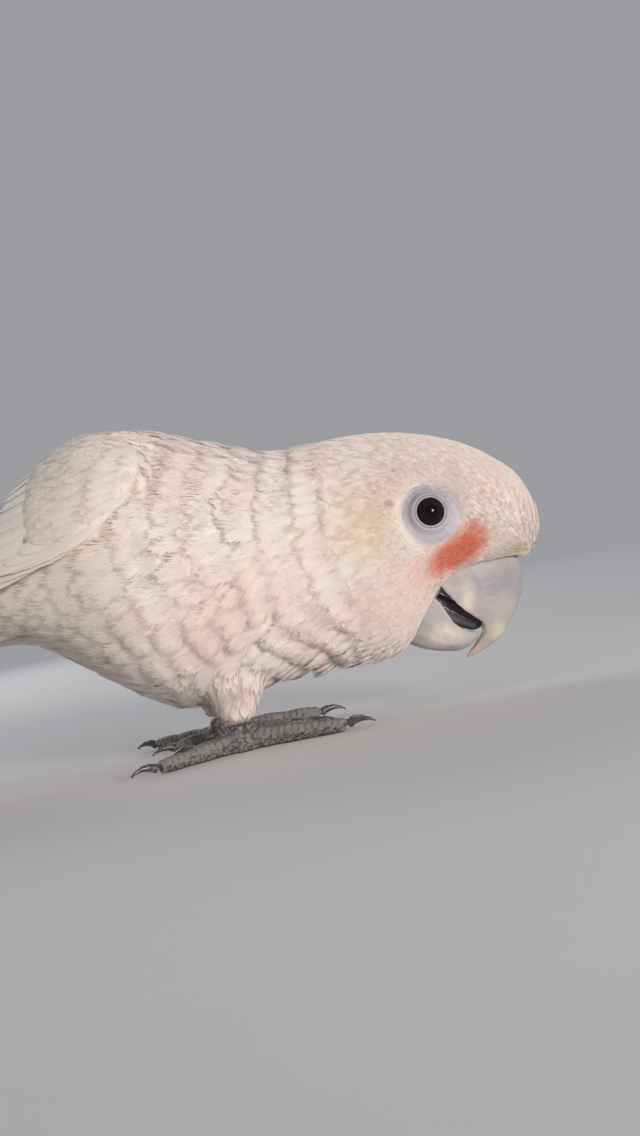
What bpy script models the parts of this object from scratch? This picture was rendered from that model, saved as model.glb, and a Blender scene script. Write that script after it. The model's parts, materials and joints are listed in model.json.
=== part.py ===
"""A life-size white corella (a small cockatoo), crouching forward on both feet.

The bird faces +X with its back towards +Z, and its toes stand on z = 0.  The sizes below are in
millimetres and are turned into metres where a mesh is made.  While it is modelled, x = 0 is over
its feet; at the end the whole bird is moved along X until the middle of its length is at x = 0.
"""

import math
from collections import namedtuple

import bmesh
import bpy
from mathutils import Vector

# ---------------------------------------------------------------- driving sizes, in millimetres

MM = 0.001
GAP = 0.3                    # the thin cut between neighbouring pieces
AROUND = 24                  # sides of the body's cross-sections

# One cross-section of the head, neck or body: (x, z) of its highest and lowest points, half its
# breadth, and how far down, as a share of its height, it is broadest.
Section = namedtuple("Section", "top bottom half_width widest")
BODY = {
    "brow": Section((92.0, 49.6), (91.6, 37.2), 4.8, 0.50),
    "forehead": Section((89.2, 56.6), (88.2, 33.4), 10.4, 0.50),
    "lores": Section((84.4, 61.4), (83.4, 32.2), 13.8, 0.51),
    "crown_front": Section((77.8, 66.0), (76.8, 31.8), 16.6, 0.53),
    "crown": Section((70.2, 69.8), (69.2, 31.0), 18.8, 0.54),
    "eye": Section((62.0, 72.6), (61.6, 27.4), 20.4, 0.54),
    "cheek": Section((53.4, 74.5), (53.6, 17.2), 21.6, 0.55),
    "hind_crown": Section((44.6, 75.0), (44.6, 13.9), 22.6, 0.55),
    "nape": Section((35.0, 75.2), (33.4, 15.0), 23.8, 0.54),
    "neck": Section((24.6, 75.8), (23.2, 14.8), 26.0, 0.54),
    "mantle": Section((12.8, 80.6), (13.4, 13.5), 29.4, 0.53),
    "breast": Section((0.5, 86.2), (-2.0, 11.4), 32.6, 0.51),
    "shoulder": Section((-10.5, 89.0), (-13.0, 12.8), 34.0, 0.49),
    "back": Section((-22.0, 89.8), (-24.0, 20.4), 33.4, 0.48),
    "belly": Section((-33.0, 83.4), (-35.0, 28.6), 31.2, 0.48),
    "flank": Section((-47.0, 74.0), (-47.0, 37.6), 27.6, 0.50),
    "vent": Section((-62.0, 66.8), (-62.0, 38.4), 22.6, 0.52),
    "rump": Section((-80.0, 58.2), (-81.0, 34.0), 18.0, 0.54),
    "tail_root": Section((-99.0, 49.6), (-100.0, 28.0), 14.0, 0.56),
    "tail_coverts": Section((-117.0, 42.4), (-120.0, 22.4), 10.6, 0.57),
    "coverts_tip": Section((-133.0, 35.2), (-138.0, 18.8), 6.4, 0.56),
}
BROW_REACH = 1.3             # the rounded front of the forehead, ahead of the first section
HEAD_RANGE = ("brow", "hind_crown")
NECK_RANGE = ("hind_crown", "mantle")
TRUNK_RANGE = ("mantle", "flank")
RUMP_RANGE = ("flank", "coverts_tip")

# The folded crest lies on the crown and nape, between these stations of the body.
CREST = dict(front=2.6, back=8.9, half_angle=30.0, proud=0.5, thickness=2.0)

# The eye: its middle on the side of the head, how its axis turns, and the bare ring of skin.
EYE = dict(x=62.5, z=50.2, ball=5.1, opening=3.75, proud=0.5, turn_forward=9.0, turn_up=3.0)
EYE_RING = [(3.3, 0.1), (4.4, 0.6), (5.6, 0.15), (7.6, -0.5), (8.5, -1.1), (8.1, -2.0), (3.9, -1.7)]
EYE_SEGMENTS = 16

# Bill sections from the face to the point: the ridge or keel, the cutting edge, half the breadth.
BillSection = namedtuple("BillSection", "ridge edge half_width")
UPPER_BILL = [
    BillSection((83.2, 38.6), (60.6, 34.4), 8.6),
    BillSection((85.9, 32.4), (62.4, 30.0), 8.9),
    BillSection((85.6, 28.2), (64.4, 26.9), 8.5),
    BillSection((84.4, 24.2), (66.6, 23.7), 7.8),
    BillSection((82.2, 20.4), (69.2, 21.2), 6.8),
    BillSection((79.2, 16.6), (71.6, 18.6), 5.4),
    BillSection((75.4, 13.4), (71.8, 16.2), 3.7),
    BillSection((71.2, 11.4), (69.4, 13.8), 2.2),
    BillSection((66.0, 10.1), (65.8, 10.6), 0.5),
]
LOWER_BILL = [
    BillSection((47.6, 20.8), (57.4, 31.0), 7.4),
    BillSection((52.2, 16.5), (61.2, 27.4), 7.4),
    BillSection((57.0, 14.2), (62.9, 23.4), 7.0),
    BillSection((61.8, 12.9), (64.4, 20.2), 6.2),
    BillSection((66.0, 12.5), (67.0, 17.9), 4.9),
    BillSection((70.0, 14.9), (70.4, 16.5), 2.6),
]
MOUTH_HOLLOW = 0.26          # how far the bill is hollowed on the mouth's side, per bill height
TONGUE = dict(root=(56.6, 29.0), tip=(71.2, 18.2), half_width=3.8, half_height=2.2)

# The folded wing from the wrist to the tip: x, and (y, z) of the edge near the back's middle
# and of the lower, leading edge.
WingStation = namedtuple("WingStation", "x upper lower")
WING = [
    WingStation(-5.6, (22.8, 80.4), (26.2, 75.6)),
    WingStation(-10.6, (17.0, 85.4), (30.8, 69.6)),
    WingStation(-20.0, (12.2, 89.2), (35.2, 63.0)),
    WingStation(-34.0, (8.6, 84.4), (35.6, 58.6)),
    WingStation(-50.0, (5.0, 75.8), (33.6, 55.2)),
    WingStation(-72.0, (1.6, 66.8), (30.0, 49.4)),
    WingStation(-97.0, (0.7, 57.6), (25.6, 42.0)),
    WingStation(-126.0, (0.7, 47.4), (20.6, 33.4)),
    WingStation(-155.0, (1.4, 37.4), (16.2, 25.4)),
    WingStation(-180.0, (3.6, 28.4), (13.4, 18.8)),
    WingStation(-196.0, (6.2, 22.0), (11.6, 15.6)),
    WingStation(-204.0, (8.2, 17.6), (10.0, 15.4)),
]
WING_BULGE = 0.5             # 0 is a straight chord between the edges, 1 reaches the full corner
WING_MIDDLE_GAP = 0.7        # each wing keeps this far from the bird's middle plane
WINGS_MEET = {1: 5.1, -1: 5.4}  # where each wing's bed crosses the bird's middle, in stations
TAPER_FROM = 8.3             # past this station the layers draw together towards the tip
TIP_DEPTH = 0.35

# Feather layers of a wing: its stretch in stations, its share of the breadth, how deep it lies
# and how thick it is, the rounded tips along its end, and its rows and columns of faces.
WingLayer = namedtuple("WingLayer", "start end upper lower depth thickness tips rows columns")
WING_LAYERS = {
    "shoulder": WingLayer(0.0, 3.5, 0.0, 1.0, 0.0, 1.7, 4, 6, 8),
    "coverts": WingLayer(2.8, 5.3, 0.0, 0.86, 2.1, 0.9, 4, 5, 8),
    "alula": WingLayer(2.8, 5.6, 0.9, 1.0, 2.1, 1.1, 1, 6, 2),
    "secondaries": WingLayer(4.2, 8.3, 0.0, 0.82, 3.4, 0.8, 4, 7, 8),
    "primaries": WingLayer(4.8, 11.0, 0.34, 1.0, 4.6, 0.8, 1, 10, 4),
}
TIP_LENGTH = 0.16            # how deep the scallops between rounded tips are, in stations

# Tail feathers, counted outwards from the middle pair.
TAIL_FEATHERS = 6
TAIL = dict(root=(-100.0, 38.6), length=113.0, droop=16.4, root_side=1.2, side_step=0.75,
            fan=0.75, drop_step=0.95, roll=0.6, half_width=6.8, thickness=0.55, round_tip=8.0, middle_gap=0.4)
TAIL_SLOT = dict(height=7.6, breadth=60.0, below=2.9)

# Legs: the feathered shank's ellipses from the belly down, and the bare foot.
LEG_SPREAD = 14.0            # sideways distance from the middle plane to each leg
LEFT_FOOT_BACK = 7.0         # how far the left foot stands behind the right one
ShankRing = namedtuple("ShankRing", "z x half_length half_width")
SHANK = [
    ShankRing(34.0, 1.0, 9.6, 8.6),
    ShankRing(25.0, 2.6, 9.4, 8.4),
    ShankRing(18.0, 3.8, 8.2, 7.4),
    ShankRing(12.0, 4.4, 6.4, 6.0),
    ShankRing(7.0, 3.8, 4.6, 4.6),
]
FOOT_X = 3.6
FOOT_PAD = [(0.0, 4.2), (1.6, 4.9), (3.6, 4.5), (5.2, 3.6), (6.7, 3.2)]  # (z, radius)

# Two toes point forward and two back: plan angle from straight ahead (positive is outwards),
# length, radius at root and tip, and number of joint pads.
Toe = namedtuple("Toe", "angle length root_radius tip_radius pads")
TOES = {
    "front_outer": Toe(10.0, 27.0, 3.2, 2.1, 3),
    "front_inner": Toe(-26.0, 19.5, 3.0, 2.0, 2),
    "rear_outer": Toe(150.0, 23.5, 3.0, 2.0, 3),
    "rear_inner": Toe(-156.0, 13.5, 2.9, 2.0, 2),
}
CLAW = dict(length=8.2, radius=1.35, curl=72.0, lift=30.0)

COLOURS = {
    "plumage": ((0.86, 0.82, 0.77), 0.85),
    "blush": ((0.87, 0.77, 0.71), 0.85),
    "quill": ((0.88, 0.86, 0.80), 0.60),
    "bill": ((0.72, 0.71, 0.68), 0.35),
    "tongue": ((0.09, 0.09, 0.10), 0.50),
    "eye": ((0.01, 0.008, 0.007), 0.05),
    "eye_skin": ((0.66, 0.68, 0.74), 0.55),
    "foot": ((0.30, 0.29, 0.29), 0.60),
    "claw": ((0.10, 0.09, 0.09), 0.40),
}

SIDES = {"right": -1, "left": 1}


# ---------------------------------------------------------------- objects, materials, modifiers

def clear_scene():
    for thing in list(bpy.data.objects):
        bpy.data.objects.remove(thing, do_unlink=True)


def make_collection(name):
    collection = bpy.data.collections.new(name)
    bpy.context.scene.collection.children.link(collection)
    return collection


def material(name):
    made = bpy.data.materials.get(name)
    if made:
        return made
    colour, roughness = COLOURS[name]
    made = bpy.data.materials.new(name)
    made.use_nodes = True
    shader = made.node_tree.nodes["Principled BSDF"]
    shader.inputs["Base Color"].default_value = (*colour, 1.0)
    shader.inputs["Roughness"].default_value = roughness
    shader.inputs["Metallic"].default_value = 0.0
    return made


def add_piece(name, shape, finish):
    """A piece of the bird: its bmesh becomes an object that rides on the stance empty."""
    made = add_object(name, shape, bird_parts)
    made.data.materials.append(material(finish))
    made.data.shade_smooth()
    made.data.set_sharp_from_angle(angle=math.radians(40))
    return made


def add_tool(name, shape):
    """A shape that only cuts or joins others; it is never a piece of the bird itself."""
    made = add_object("tool_" + name, shape, tools)
    made.hide_render = True
    made.display_type = "WIRE"
    return made


def add_object(name, shape, collection):
    mesh = bpy.data.meshes.new(name)
    shape.to_mesh(mesh)
    shape.free()
    made = bpy.data.objects.new(name, mesh)
    collection.objects.link(made)
    made.parent = stance
    return made


def combine(target, tool, operation="DIFFERENCE"):
    step = target.modifiers.new(f"{operation.lower()}_{tool.name}", "BOOLEAN")
    step.operation = operation
    step.object = tool
    return step


def thicken(sheet, thickness):
    """Gives an open sheet its thickness, inwards from its outer face."""
    shell = sheet.modifiers.new("thickness", "SOLIDIFY")
    shell.thickness = thickness * MM
    shell.offset = -1
    return sheet


def turn(profile_object, segments):
    """Turns a profile in the object's XZ plane about its Z axis."""
    screw = profile_object.modifiers.new("turned", "SCREW")
    screw.axis = "Z"
    screw.steps = screw.render_steps = segments
    screw.use_merge_vertices = True
    screw.merge_threshold = 0.00001
    screw.use_normal_calculate = True
    return profile_object


def aim(thing, place, axis):
    """Puts an object's origin at a place in millimetres, its Z along an axis."""
    thing.location = place * MM
    thing.rotation_mode = "QUATERNION"
    thing.rotation_quaternion = axis.to_track_quat("Z", "Y")
    return thing


# ---------------------------------------------------------------- ways of making shapes

def through(values, position):
    """A smooth curve through numbers at whole positions (Catmull-Rom)."""
    last = len(values) - 1
    i = min(max(math.floor(position), 0), last - 1)
    t = position - i
    b, c = values[i], values[i + 1]
    a = values[i - 1] if i > 0 else 2 * b - c
    d = values[i + 2] if i + 2 <= last else 2 * c - b
    return b + 0.5 * t * (c - a + t * (2 * a - 5 * b + 4 * c - d + t * (3 * (b - c) + d - a)))


def steps(start, end, count):
    """count + 1 evenly spaced numbers from start to end."""
    return [start + (end - start) * i / count for i in range(count + 1)]


def circle_angles(count):
    return [2 * math.pi * j / count for j in range(count)]


def loft(rings):
    """A closed solid through rings of points; a ring of one point is a pole."""
    shape = bmesh.new()
    rows = [[shape.verts.new(Vector(p) * MM) for p in ring] for ring in rings]
    for row, after in zip(rows, rows[1:]):
        count = max(len(row), len(after))
        for j in range(count):
            k = (j + 1) % count
            corners = [row[j % len(row)], row[k % len(row)], after[k % len(after)], after[j % len(after)]]
            shape.faces.new(list(dict.fromkeys(corners)))
    for row in (rows[0], rows[-1]):
        if len(row) > 1:
            shape.faces.new(row)
    bmesh.ops.recalc_face_normals(shape, faces=shape.faces)
    return shape


def open_sheet(grid, flip):
    """An open surface over a grid of points, its normals turned over where flip is true."""
    shape = bmesh.new()
    rows = [[shape.verts.new(p * MM) for p in row] for row in grid]
    for row, after in zip(rows, rows[1:]):
        for j in range(len(row) - 1):
            corners = (row[j], row[j + 1], after[j + 1], after[j])
            shape.faces.new(corners[::-1] if flip else corners)
    return shape


def profile_loop(points):
    """A closed outline of (radius, height) points in the XZ plane."""
    shape = bmesh.new()
    corners = [shape.verts.new((radius * MM, 0, height * MM)) for radius, height in points]
    for corner, after in zip(corners, corners[1:] + corners[:1]):
        shape.edges.new((corner, after))
    return shape


def ball(radius):
    shape = bmesh.new()
    bmesh.ops.create_uvsphere(shape, u_segments=EYE_SEGMENTS, v_segments=7, radius=radius * MM)
    return shape


def ellipse(x, y, z, half_length, half_width, count=12):
    return [Vector((x + half_length * math.cos(a), y + half_width * math.sin(a), z))
            for a in circle_angles(count)]


# ---------------------------------------------------------------- head, neck and body

BODY_NAMES = list(BODY)
BODY_SECTIONS = list(BODY.values())


def body_point(u, angle):
    """A point of the outer surface at station u; angle 0 is the top, 90 the left side."""
    def at(pick):
        return through([pick(s) for s in BODY_SECTIONS], u)
    top = Vector((at(lambda s: s.top[0]), 0, at(lambda s: s.top[1])))
    bottom = Vector((at(lambda s: s.bottom[0]), 0, at(lambda s: s.bottom[1])))
    middle = top.lerp(bottom, at(lambda s: s.widest))
    radians = math.radians(angle)
    reach = top - middle if math.cos(radians) > 0 else middle - bottom
    side = Vector((0, at(lambda s: s.half_width), 0))
    return middle + reach * math.cos(radians) + side * math.sin(radians)


def body_normal(u, angle):
    along = body_point(u + 0.05, angle) - body_point(u - 0.05, angle)
    across = body_point(u, angle + 2) - body_point(u, angle - 2)
    return across.cross(along).normalized()


def body_piece(name, stretch, rings_per_station, finish):
    """The body between two named sections, less half a cut at each open end."""
    first, last = (BODY_NAMES.index(n) for n in stretch)
    rings = [[body_point(u, 360 * j / AROUND) for j in range(AROUND)]
             for u in steps(first, last, (last - first) * rings_per_station)]
    for end, inner in ((0, 1), (-1, -2)):
        shift = (rings[inner][0] - rings[end][0]).normalized() * GAP / 2
        rings[end] = [p + shift for p in rings[end]]
    if first == 0:
        front = sum(rings[0], Vector()) / AROUND
        rings.insert(0, [front + Vector((BROW_REACH, 0, 0))])
    return add_piece(name, loft(rings), finish)


def crest_shape(grow=0.0):
    """The folded crest, broad on the crown and drawn together towards the nape."""
    degrees_per_mm = 3.0
    rings = []
    for share in steps(0, 1, 7):
        u = CREST["front"] + (CREST["back"] - CREST["front"]) * share
        spread = CREST["half_angle"] * min(1, 0.6 + 1.6 * share) * (1 - 0.88 * share ** 2.4)
        spread += grow * degrees_per_mm
        top = CREST["proud"] + grow
        bed = CREST["thickness"] - CREST["proud"] + grow
        outer = [body_point(u, a) + body_normal(u, a) * top for a in steps(-spread, spread, 4)]
        inner = [body_point(u, a) - body_normal(u, a) * bed for a in (spread, 0, -spread)]
        rings.append(outer + inner)
    for end, inside in ((0, 1), (-1, -2)):
        push = (rings[end][2] - rings[inside][2]).normalized() * grow
        rings[end] = [p + push for p in rings[end]]
    return loft(rings)


def build_crest(hollowed):
    add_piece("crest", crest_shape(), "plumage")
    bed = add_tool("crest", crest_shape(GAP))
    for piece in hollowed:
        combine(piece, bed)


# ---------------------------------------------------------------- bill and tongue

def bill_ring(sections, u, grow):
    """From one cutting edge over the ridge to the other, and back over the hollow mouth side."""
    def at(pick):
        return through([pick(s) for s in sections], u)
    ridge = Vector((at(lambda s: s.ridge[0]), 0, at(lambda s: s.ridge[1])))
    edge = Vector((at(lambda s: s.edge[0]), 0, at(lambda s: s.edge[1])))
    height = (ridge - edge).length
    up = (ridge - edge).normalized()
    half_width = at(lambda s: s.half_width)
    shell = []
    for angle in (math.radians(a) for a in steps(0, 180, 8)):
        rise = math.sin(angle) ** 0.85 * (height + 4 * grow) - 3 * grow
        out = math.copysign(abs(math.cos(angle)) ** 0.75, math.cos(angle))
        shell.append(edge + up * rise + Vector((0, (half_width + grow) * out, 0)))
    roof = []
    for share in (-0.6, 0.0, 0.6):
        rise = MOUTH_HOLLOW * height * (1 - share * share) - 1.5 * grow
        roof.append(edge + up * rise + Vector((0, half_width * share, 0)))
    return shell + roof


def bill_shape(sections, spans, grow=0.0):
    places = steps(0, len(sections) - 1, spans)
    if grow:
        places.insert(0, -grow / 2)
    return loft([bill_ring(sections, u, grow) for u in places])


def tongue_shape(grow=0.0):
    """A thick blunt tongue between the bill's cutting edges."""
    root = Vector((TONGUE["root"][0], 0, TONGUE["root"][1]))
    tip = Vector((TONGUE["tip"][0], 0, TONGUE["tip"][1]))
    along = (tip - root).normalized()
    up = Vector((-along.z, 0, along.x))
    rings = []
    for share in (-grow / 10, 0.3, 0.6, 0.8, 0.93):
        full = math.sqrt(1 - share ** 5)
        half_width, half_height = (TONGUE[k] * full + grow for k in ("half_width", "half_height"))
        middle = root.lerp(tip, share)
        rings.append([middle + Vector((0, half_width * math.cos(a), 0)) + up * half_height * math.sin(a)
                      for a in circle_angles(10)])
    return loft(rings + [[tip + along * grow]])


def build_bill(head):
    shapes = {
        "bill_upper": (lambda grow=0.0: bill_shape(UPPER_BILL, 12, grow), "bill"),
        "bill_lower": (lambda grow=0.0: bill_shape(LOWER_BILL, 7, grow), "bill"),
        "tongue": (tongue_shape, "tongue"),
    }
    pieces = {name: add_piece(name, shape(), finish) for name, (shape, finish) in shapes.items()}
    for name, (shape, _) in shapes.items():
        room = add_tool(name, shape(GAP))
        combine(head, room)
        if name != "tongue":
            combine(pieces["tongue"], room)


# ---------------------------------------------------------------- eyes

def eye_place(side):
    """The point where the eye's axis leaves the head, and that axis."""
    near = min(
        (body_point(u, a) for u in steps(4, 6, 40) for a in steps(60, 110, 50)),
        key=lambda p: (p.x - EYE["x"]) ** 2 + (p.z - EYE["z"]) ** 2,
    )
    forward, up = math.radians(EYE["turn_forward"]), math.radians(EYE["turn_up"])
    axis = Vector((math.sin(forward), side * math.cos(forward) * math.cos(up), math.sin(up)))
    return Vector((near.x, side * near.y, near.z)), axis.normalized()


def build_eye(word, side, head):
    surface, axis = eye_place(side)
    sunk = math.sqrt(EYE["ball"] ** 2 - EYE["opening"] ** 2)
    centre = surface + axis * (EYE["proud"] - sunk)
    aim(add_piece(f"eye_{word}", ball(EYE["ball"]), "eye"), centre, axis)
    socket = aim(add_tool(f"socket_{word}", ball(EYE["ball"] + GAP)), centre, axis)
    ring = aim(add_piece(f"eye_ring_{word}", profile_loop(EYE_RING), "eye_skin"), surface, axis)
    combine(turn(ring, EYE_SEGMENTS), socket)
    outer = max(radius for radius, _ in EYE_RING) + GAP
    floor = min(height for _, height in EYE_RING) - GAP
    bed = bmesh.new()
    depth = 6.0
    bmesh.ops.create_cone(bed, cap_ends=True, segments=EYE_SEGMENTS, radius1=outer * MM,
                          radius2=outer * MM, depth=depth * MM)
    bed = aim(add_tool(f"eye_bed_{word}", bed), surface + axis * (floor + depth / 2), axis)
    combine(head, bed)
    combine(head, socket)


# ---------------------------------------------------------------- wings

def wing_section(s, t):
    """The folded wing's outer face: s along it in stations, t from its upper to its lower edge."""
    def at(pick):
        return through([pick(w) for w in WING], s)
    upper = Vector((at(lambda w: w.upper[0]), at(lambda w: w.upper[1])))
    lower = Vector((at(lambda w: w.lower[0]), at(lambda w: w.lower[1])))
    corner = upper.lerp(lower, 0.5).lerp(Vector((lower.x, upper.y)), WING_BULGE)
    place = upper * (1 - t) ** 2 + corner * (2 * t * (1 - t)) + lower * t ** 2
    down = (corner - upper) * (1 - t) + (lower - corner) * t
    return at(lambda w: w.x), place, down.normalized()


def wing_point(s, t, depth, side, edge_push=0.0):
    """A point under the wing's outer face, measured inwards across the bird's length."""
    x, place, down = wing_section(s, t)
    taper = max(0.0, s - TAPER_FROM) / (len(WING) - 1 - TAPER_FROM)
    inwards = Vector((down.y, -down.x))
    place = place + inwards * depth * (1 - (1 - TIP_DEPTH) * taper) + down * edge_push
    return Vector((x, place.x * side, place.y))


def layer_sheet(layer, side):
    """The outer face of one layer of wing feathers, with rounded tips along its end."""
    grid = []
    for i in range(layer.rows + 1):
        row = []
        for j in range(layer.columns + 1):
            across = j / layer.columns
            scallop = 0.5 - 0.5 * math.cos(2 * math.pi * layer.tips * across)
            end = layer.end - (TIP_LENGTH * (1 - scallop) + 0.9 * (across - 0.5) ** 2) * (layer.tips > 1)
            s = layer.start + (end - layer.start) * i / layer.rows
            t = layer.upper + (layer.lower - layer.upper) * across
            point = wing_point(s, t, layer.depth, side)
            point.y = side * max(side * point.y, WING_MIDDLE_GAP)
            row.append(point)
        grid.append(row)
    return open_sheet(grid, side < 0)


def wing_bed(side):
    """What a wing takes out of the body: all that lies outside its innermost layer there."""
    rings = []
    clear = 5.0
    meet = WINGS_MEET[side]
    for s in sorted(steps(0.0, 8.5, 17) + [meet, meet + 0.03]):
        depth = 1.5 * GAP + max(w.depth + w.thickness for w in WING_LAYERS.values() if w.start - 0.5 <= s)
        inner = [wing_point(s, t, depth, side, push * GAP)
                 for t, push in ((0.0, -1.5), (0.2, 0), (0.4, 0), (0.6, 0), (0.8, 0), (1.0, 1.5))]
        past_middle = GAP if s <= meet else -2 * GAP
        for point in inner:
            point.y = side * max(side * point.y, past_middle)
        outer = [wing_point(s, t, -clear, side, push) for t, push in ((1.0, 1.0), (0.5, 0), (0.2, 0))]
        outer.append(Vector((inner[0].x, inner[0].y, outer[-1].z + clear)))
        rings.append(inner + outer)
    rings[0] = [p + Vector((2 * GAP, 0, 0)) for p in rings[0]]
    return loft(rings)


def build_wing(word, side, hollowed):
    for layer_name, layer in WING_LAYERS.items():
        finish = "plumage" if layer.depth == 0 else "quill"
        thicken(add_piece(f"wing_{word}_{layer_name}", layer_sheet(layer, side), finish), layer.thickness)
    bed = add_tool(f"wing_{word}", wing_bed(side))
    for piece in hollowed:
        combine(piece, bed)


# ---------------------------------------------------------------- tail

def tail_sheet(side, number):
    """One tail feather's upper face, stepped down and fanned out from the one above it."""
    droop, fan, roll = (math.radians(a) for a in (
        TAIL["droop"], TAIL["fan"] * (number + 0.4), TAIL["roll"] * (number + 0.5)))
    back = Vector((-math.cos(droop), 0, -math.sin(droop)))
    up = Vector((-math.sin(droop), 0, math.cos(droop)))
    aside = Vector((0, side, 0))
    along = back * math.cos(fan) + aside * math.sin(fan)
    across = (aside * math.cos(fan) - back * math.sin(fan)) * math.cos(roll) - up * math.sin(roll)
    root = (Vector((TAIL["root"][0], 0, TAIL["root"][1]))
            + aside * (TAIL["root_side"] + TAIL["side_step"] * number) - up * TAIL["drop_step"] * number)
    length = TAIL["length"] - number ** 1.3
    grid = []
    for share in (0.0, 0.3, 0.65, 0.88, 0.95, 0.985, 1.0):
        from_tip = min((1 - share) * length / TAIL["round_tip"], 1)
        rounded = math.sqrt(max(1 - (1 - from_tip) ** 2, 0.03))
        half = TAIL["half_width"] * min(1, 0.55 + 0.7 * share) * rounded
        row = [root + along * length * share + across * half * k for k in (-1, 0, 1)]
        for point in row:
            point.y = side * max(side * point.y, TAIL["middle_gap"])
        grid.append(row)
    return open_sheet(grid, side < 0)


def build_tail(rump):
    for word, side in SIDES.items():
        for number in range(TAIL_FEATHERS):
            feather = add_piece(f"tail_{word}_{number + 1}", tail_sheet(side, number), "quill")
            thicken(feather, TAIL["thickness"])
    slot = bmesh.new()
    bmesh.ops.create_cube(slot, size=MM)
    bmesh.ops.scale(slot, vec=(TAIL["length"], TAIL_SLOT["breadth"], TAIL_SLOT["height"]), verts=slot.verts)
    bmesh.ops.translate(slot, vec=((GAP - TAIL["length"] / 2) * MM, 0, -TAIL_SLOT["below"] * MM),
                        verts=slot.verts)
    slot = add_tool("tail_slot", slot)
    slot.location = Vector((TAIL["root"][0], 0, TAIL["root"][1])) * MM
    slot.rotation_euler.y = -math.radians(TAIL["droop"])
    combine(rump, slot)


# ---------------------------------------------------------------- legs and feet

def shank_shape(x, y, grow=0.0):
    return loft([ellipse(x + r.x, y, r.z, r.half_length + grow, r.half_width + grow) for r in SHANK])


def toe_shape(toe, x, y, side):
    """A padded toe whose pads are flat on the ground; also where and how its claw starts."""
    plan = math.radians(toe.angle)
    along = Vector((math.cos(plan), side * math.sin(plan), 0))
    out = Vector((-along.y, along.x, 0))
    rings = []
    for share in steps(0, 1, 3 * toe.pads):
        pad = 0.5 - 0.5 * math.cos(2 * math.pi * toe.pads * share)
        radius = (toe.root_radius + (toe.tip_radius - toe.root_radius) * share) * (0.86 + 0.17 * pad)
        middle = Vector((x, y, radius * (0.96 - 0.16 * pad))) + along * toe.length * share
        ring = [middle + (out * math.cos(a) + Vector((0, 0, math.sin(a)))) * radius
                for a in circle_angles(6)]
        for point in ring:
            point.z = max(point.z, 0)
        rings.append(ring)
    return loft(rings), middle, along


def claw_shape(toe_end, along):
    """A curved claw that rises from the toe's end and comes down again to its point."""
    up = Vector((0, 0, 1))
    out = Vector((-along.y, along.x, 0))
    bend, lift = math.radians(CLAW["curl"]), math.radians(CLAW["lift"])
    reach = CLAW["length"] / bend
    root = toe_end + along * (GAP + CLAW["radius"] * math.sin(lift))
    rings = []
    for share in (0, 0.25, 0.5, 0.75, 1):
        slope = lift - bend * share
        place = (root + along * reach * (math.sin(lift) - math.sin(slope))
                 + up * reach * (math.cos(slope) - math.cos(lift)))
        thick = CLAW["radius"] * (1 - share) ** 0.8
        depth = up * math.cos(slope) - along * math.sin(slope)
        rings.append([place + (out * 0.8 * math.cos(a) + depth * math.sin(a)) * thick
                      for a in circle_angles(6)])
    rings[-1] = [place]
    return loft(rings)


def build_leg(word, side, trunk):
    back = LEFT_FOOT_BACK if word == "left" else 0
    x, y = FOOT_X - back, side * LEG_SPREAD
    add_piece(f"leg_{word}", shank_shape(-back, y), "plumage")
    combine(trunk, add_tool(f"leg_{word}", shank_shape(-back, y, GAP)))
    pad = loft([ellipse(x, y, z, radius, radius) for z, radius in FOOT_PAD])
    foot = add_piece(f"foot_{word}", pad, "foot")
    for toe_name, toe in TOES.items():
        shape, end, along = toe_shape(toe, x, y, side)
        combine(foot, add_tool(f"toe_{word}_{toe_name}", shape), "UNION")
        add_piece(f"claw_{word}_{toe_name}", claw_shape(end, along), "claw")


# ---------------------------------------------------------------- the whole bird

def centre_length():
    """Moves the bird along X so that the middle of its length is at x = 0."""
    bpy.context.view_layer.update()
    graph = bpy.context.evaluated_depsgraph_get()
    reach = []
    for piece in bird_parts.objects:
        solid = piece.evaluated_get(graph)
        reach += [(solid.matrix_world @ Vector(corner)).x for corner in solid.bound_box]
    stance.location.x = -(min(reach) + max(reach)) / 2


clear_scene()
bird_parts = make_collection("cockatoo")
tools = make_collection("cutters")
stance = bpy.data.objects.new("stance", None)
tools.objects.link(stance)

head = body_piece("head", HEAD_RANGE, 2, "plumage")
neck = body_piece("neck", NECK_RANGE, 2, "blush")
trunk = body_piece("trunk", TRUNK_RANGE, 2, "blush")
rump = body_piece("rump", RUMP_RANGE, 2, "plumage")
build_bill(head)
build_crest((head, neck))
for word, side in SIDES.items():
    build_eye(word, side, head)
    build_wing(word, side, (trunk, rump))
    build_leg(word, side, trunk)
build_tail(rump)
centre_length()
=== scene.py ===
"""Looks for a life-size white corella: skin and coat, wings, tail, eyes, bill and feet.

Every shape is worked out in millimetres, with x = 0 over the bird's feet as in its plan, and is
moved into the frame when its mesh is made.
"""

import json
import math

import bmesh
import bpy
import numpy as np
from mathutils import Matrix, Vector, kdtree, noise
from mathutils.bvhtree import BVHTree


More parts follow.
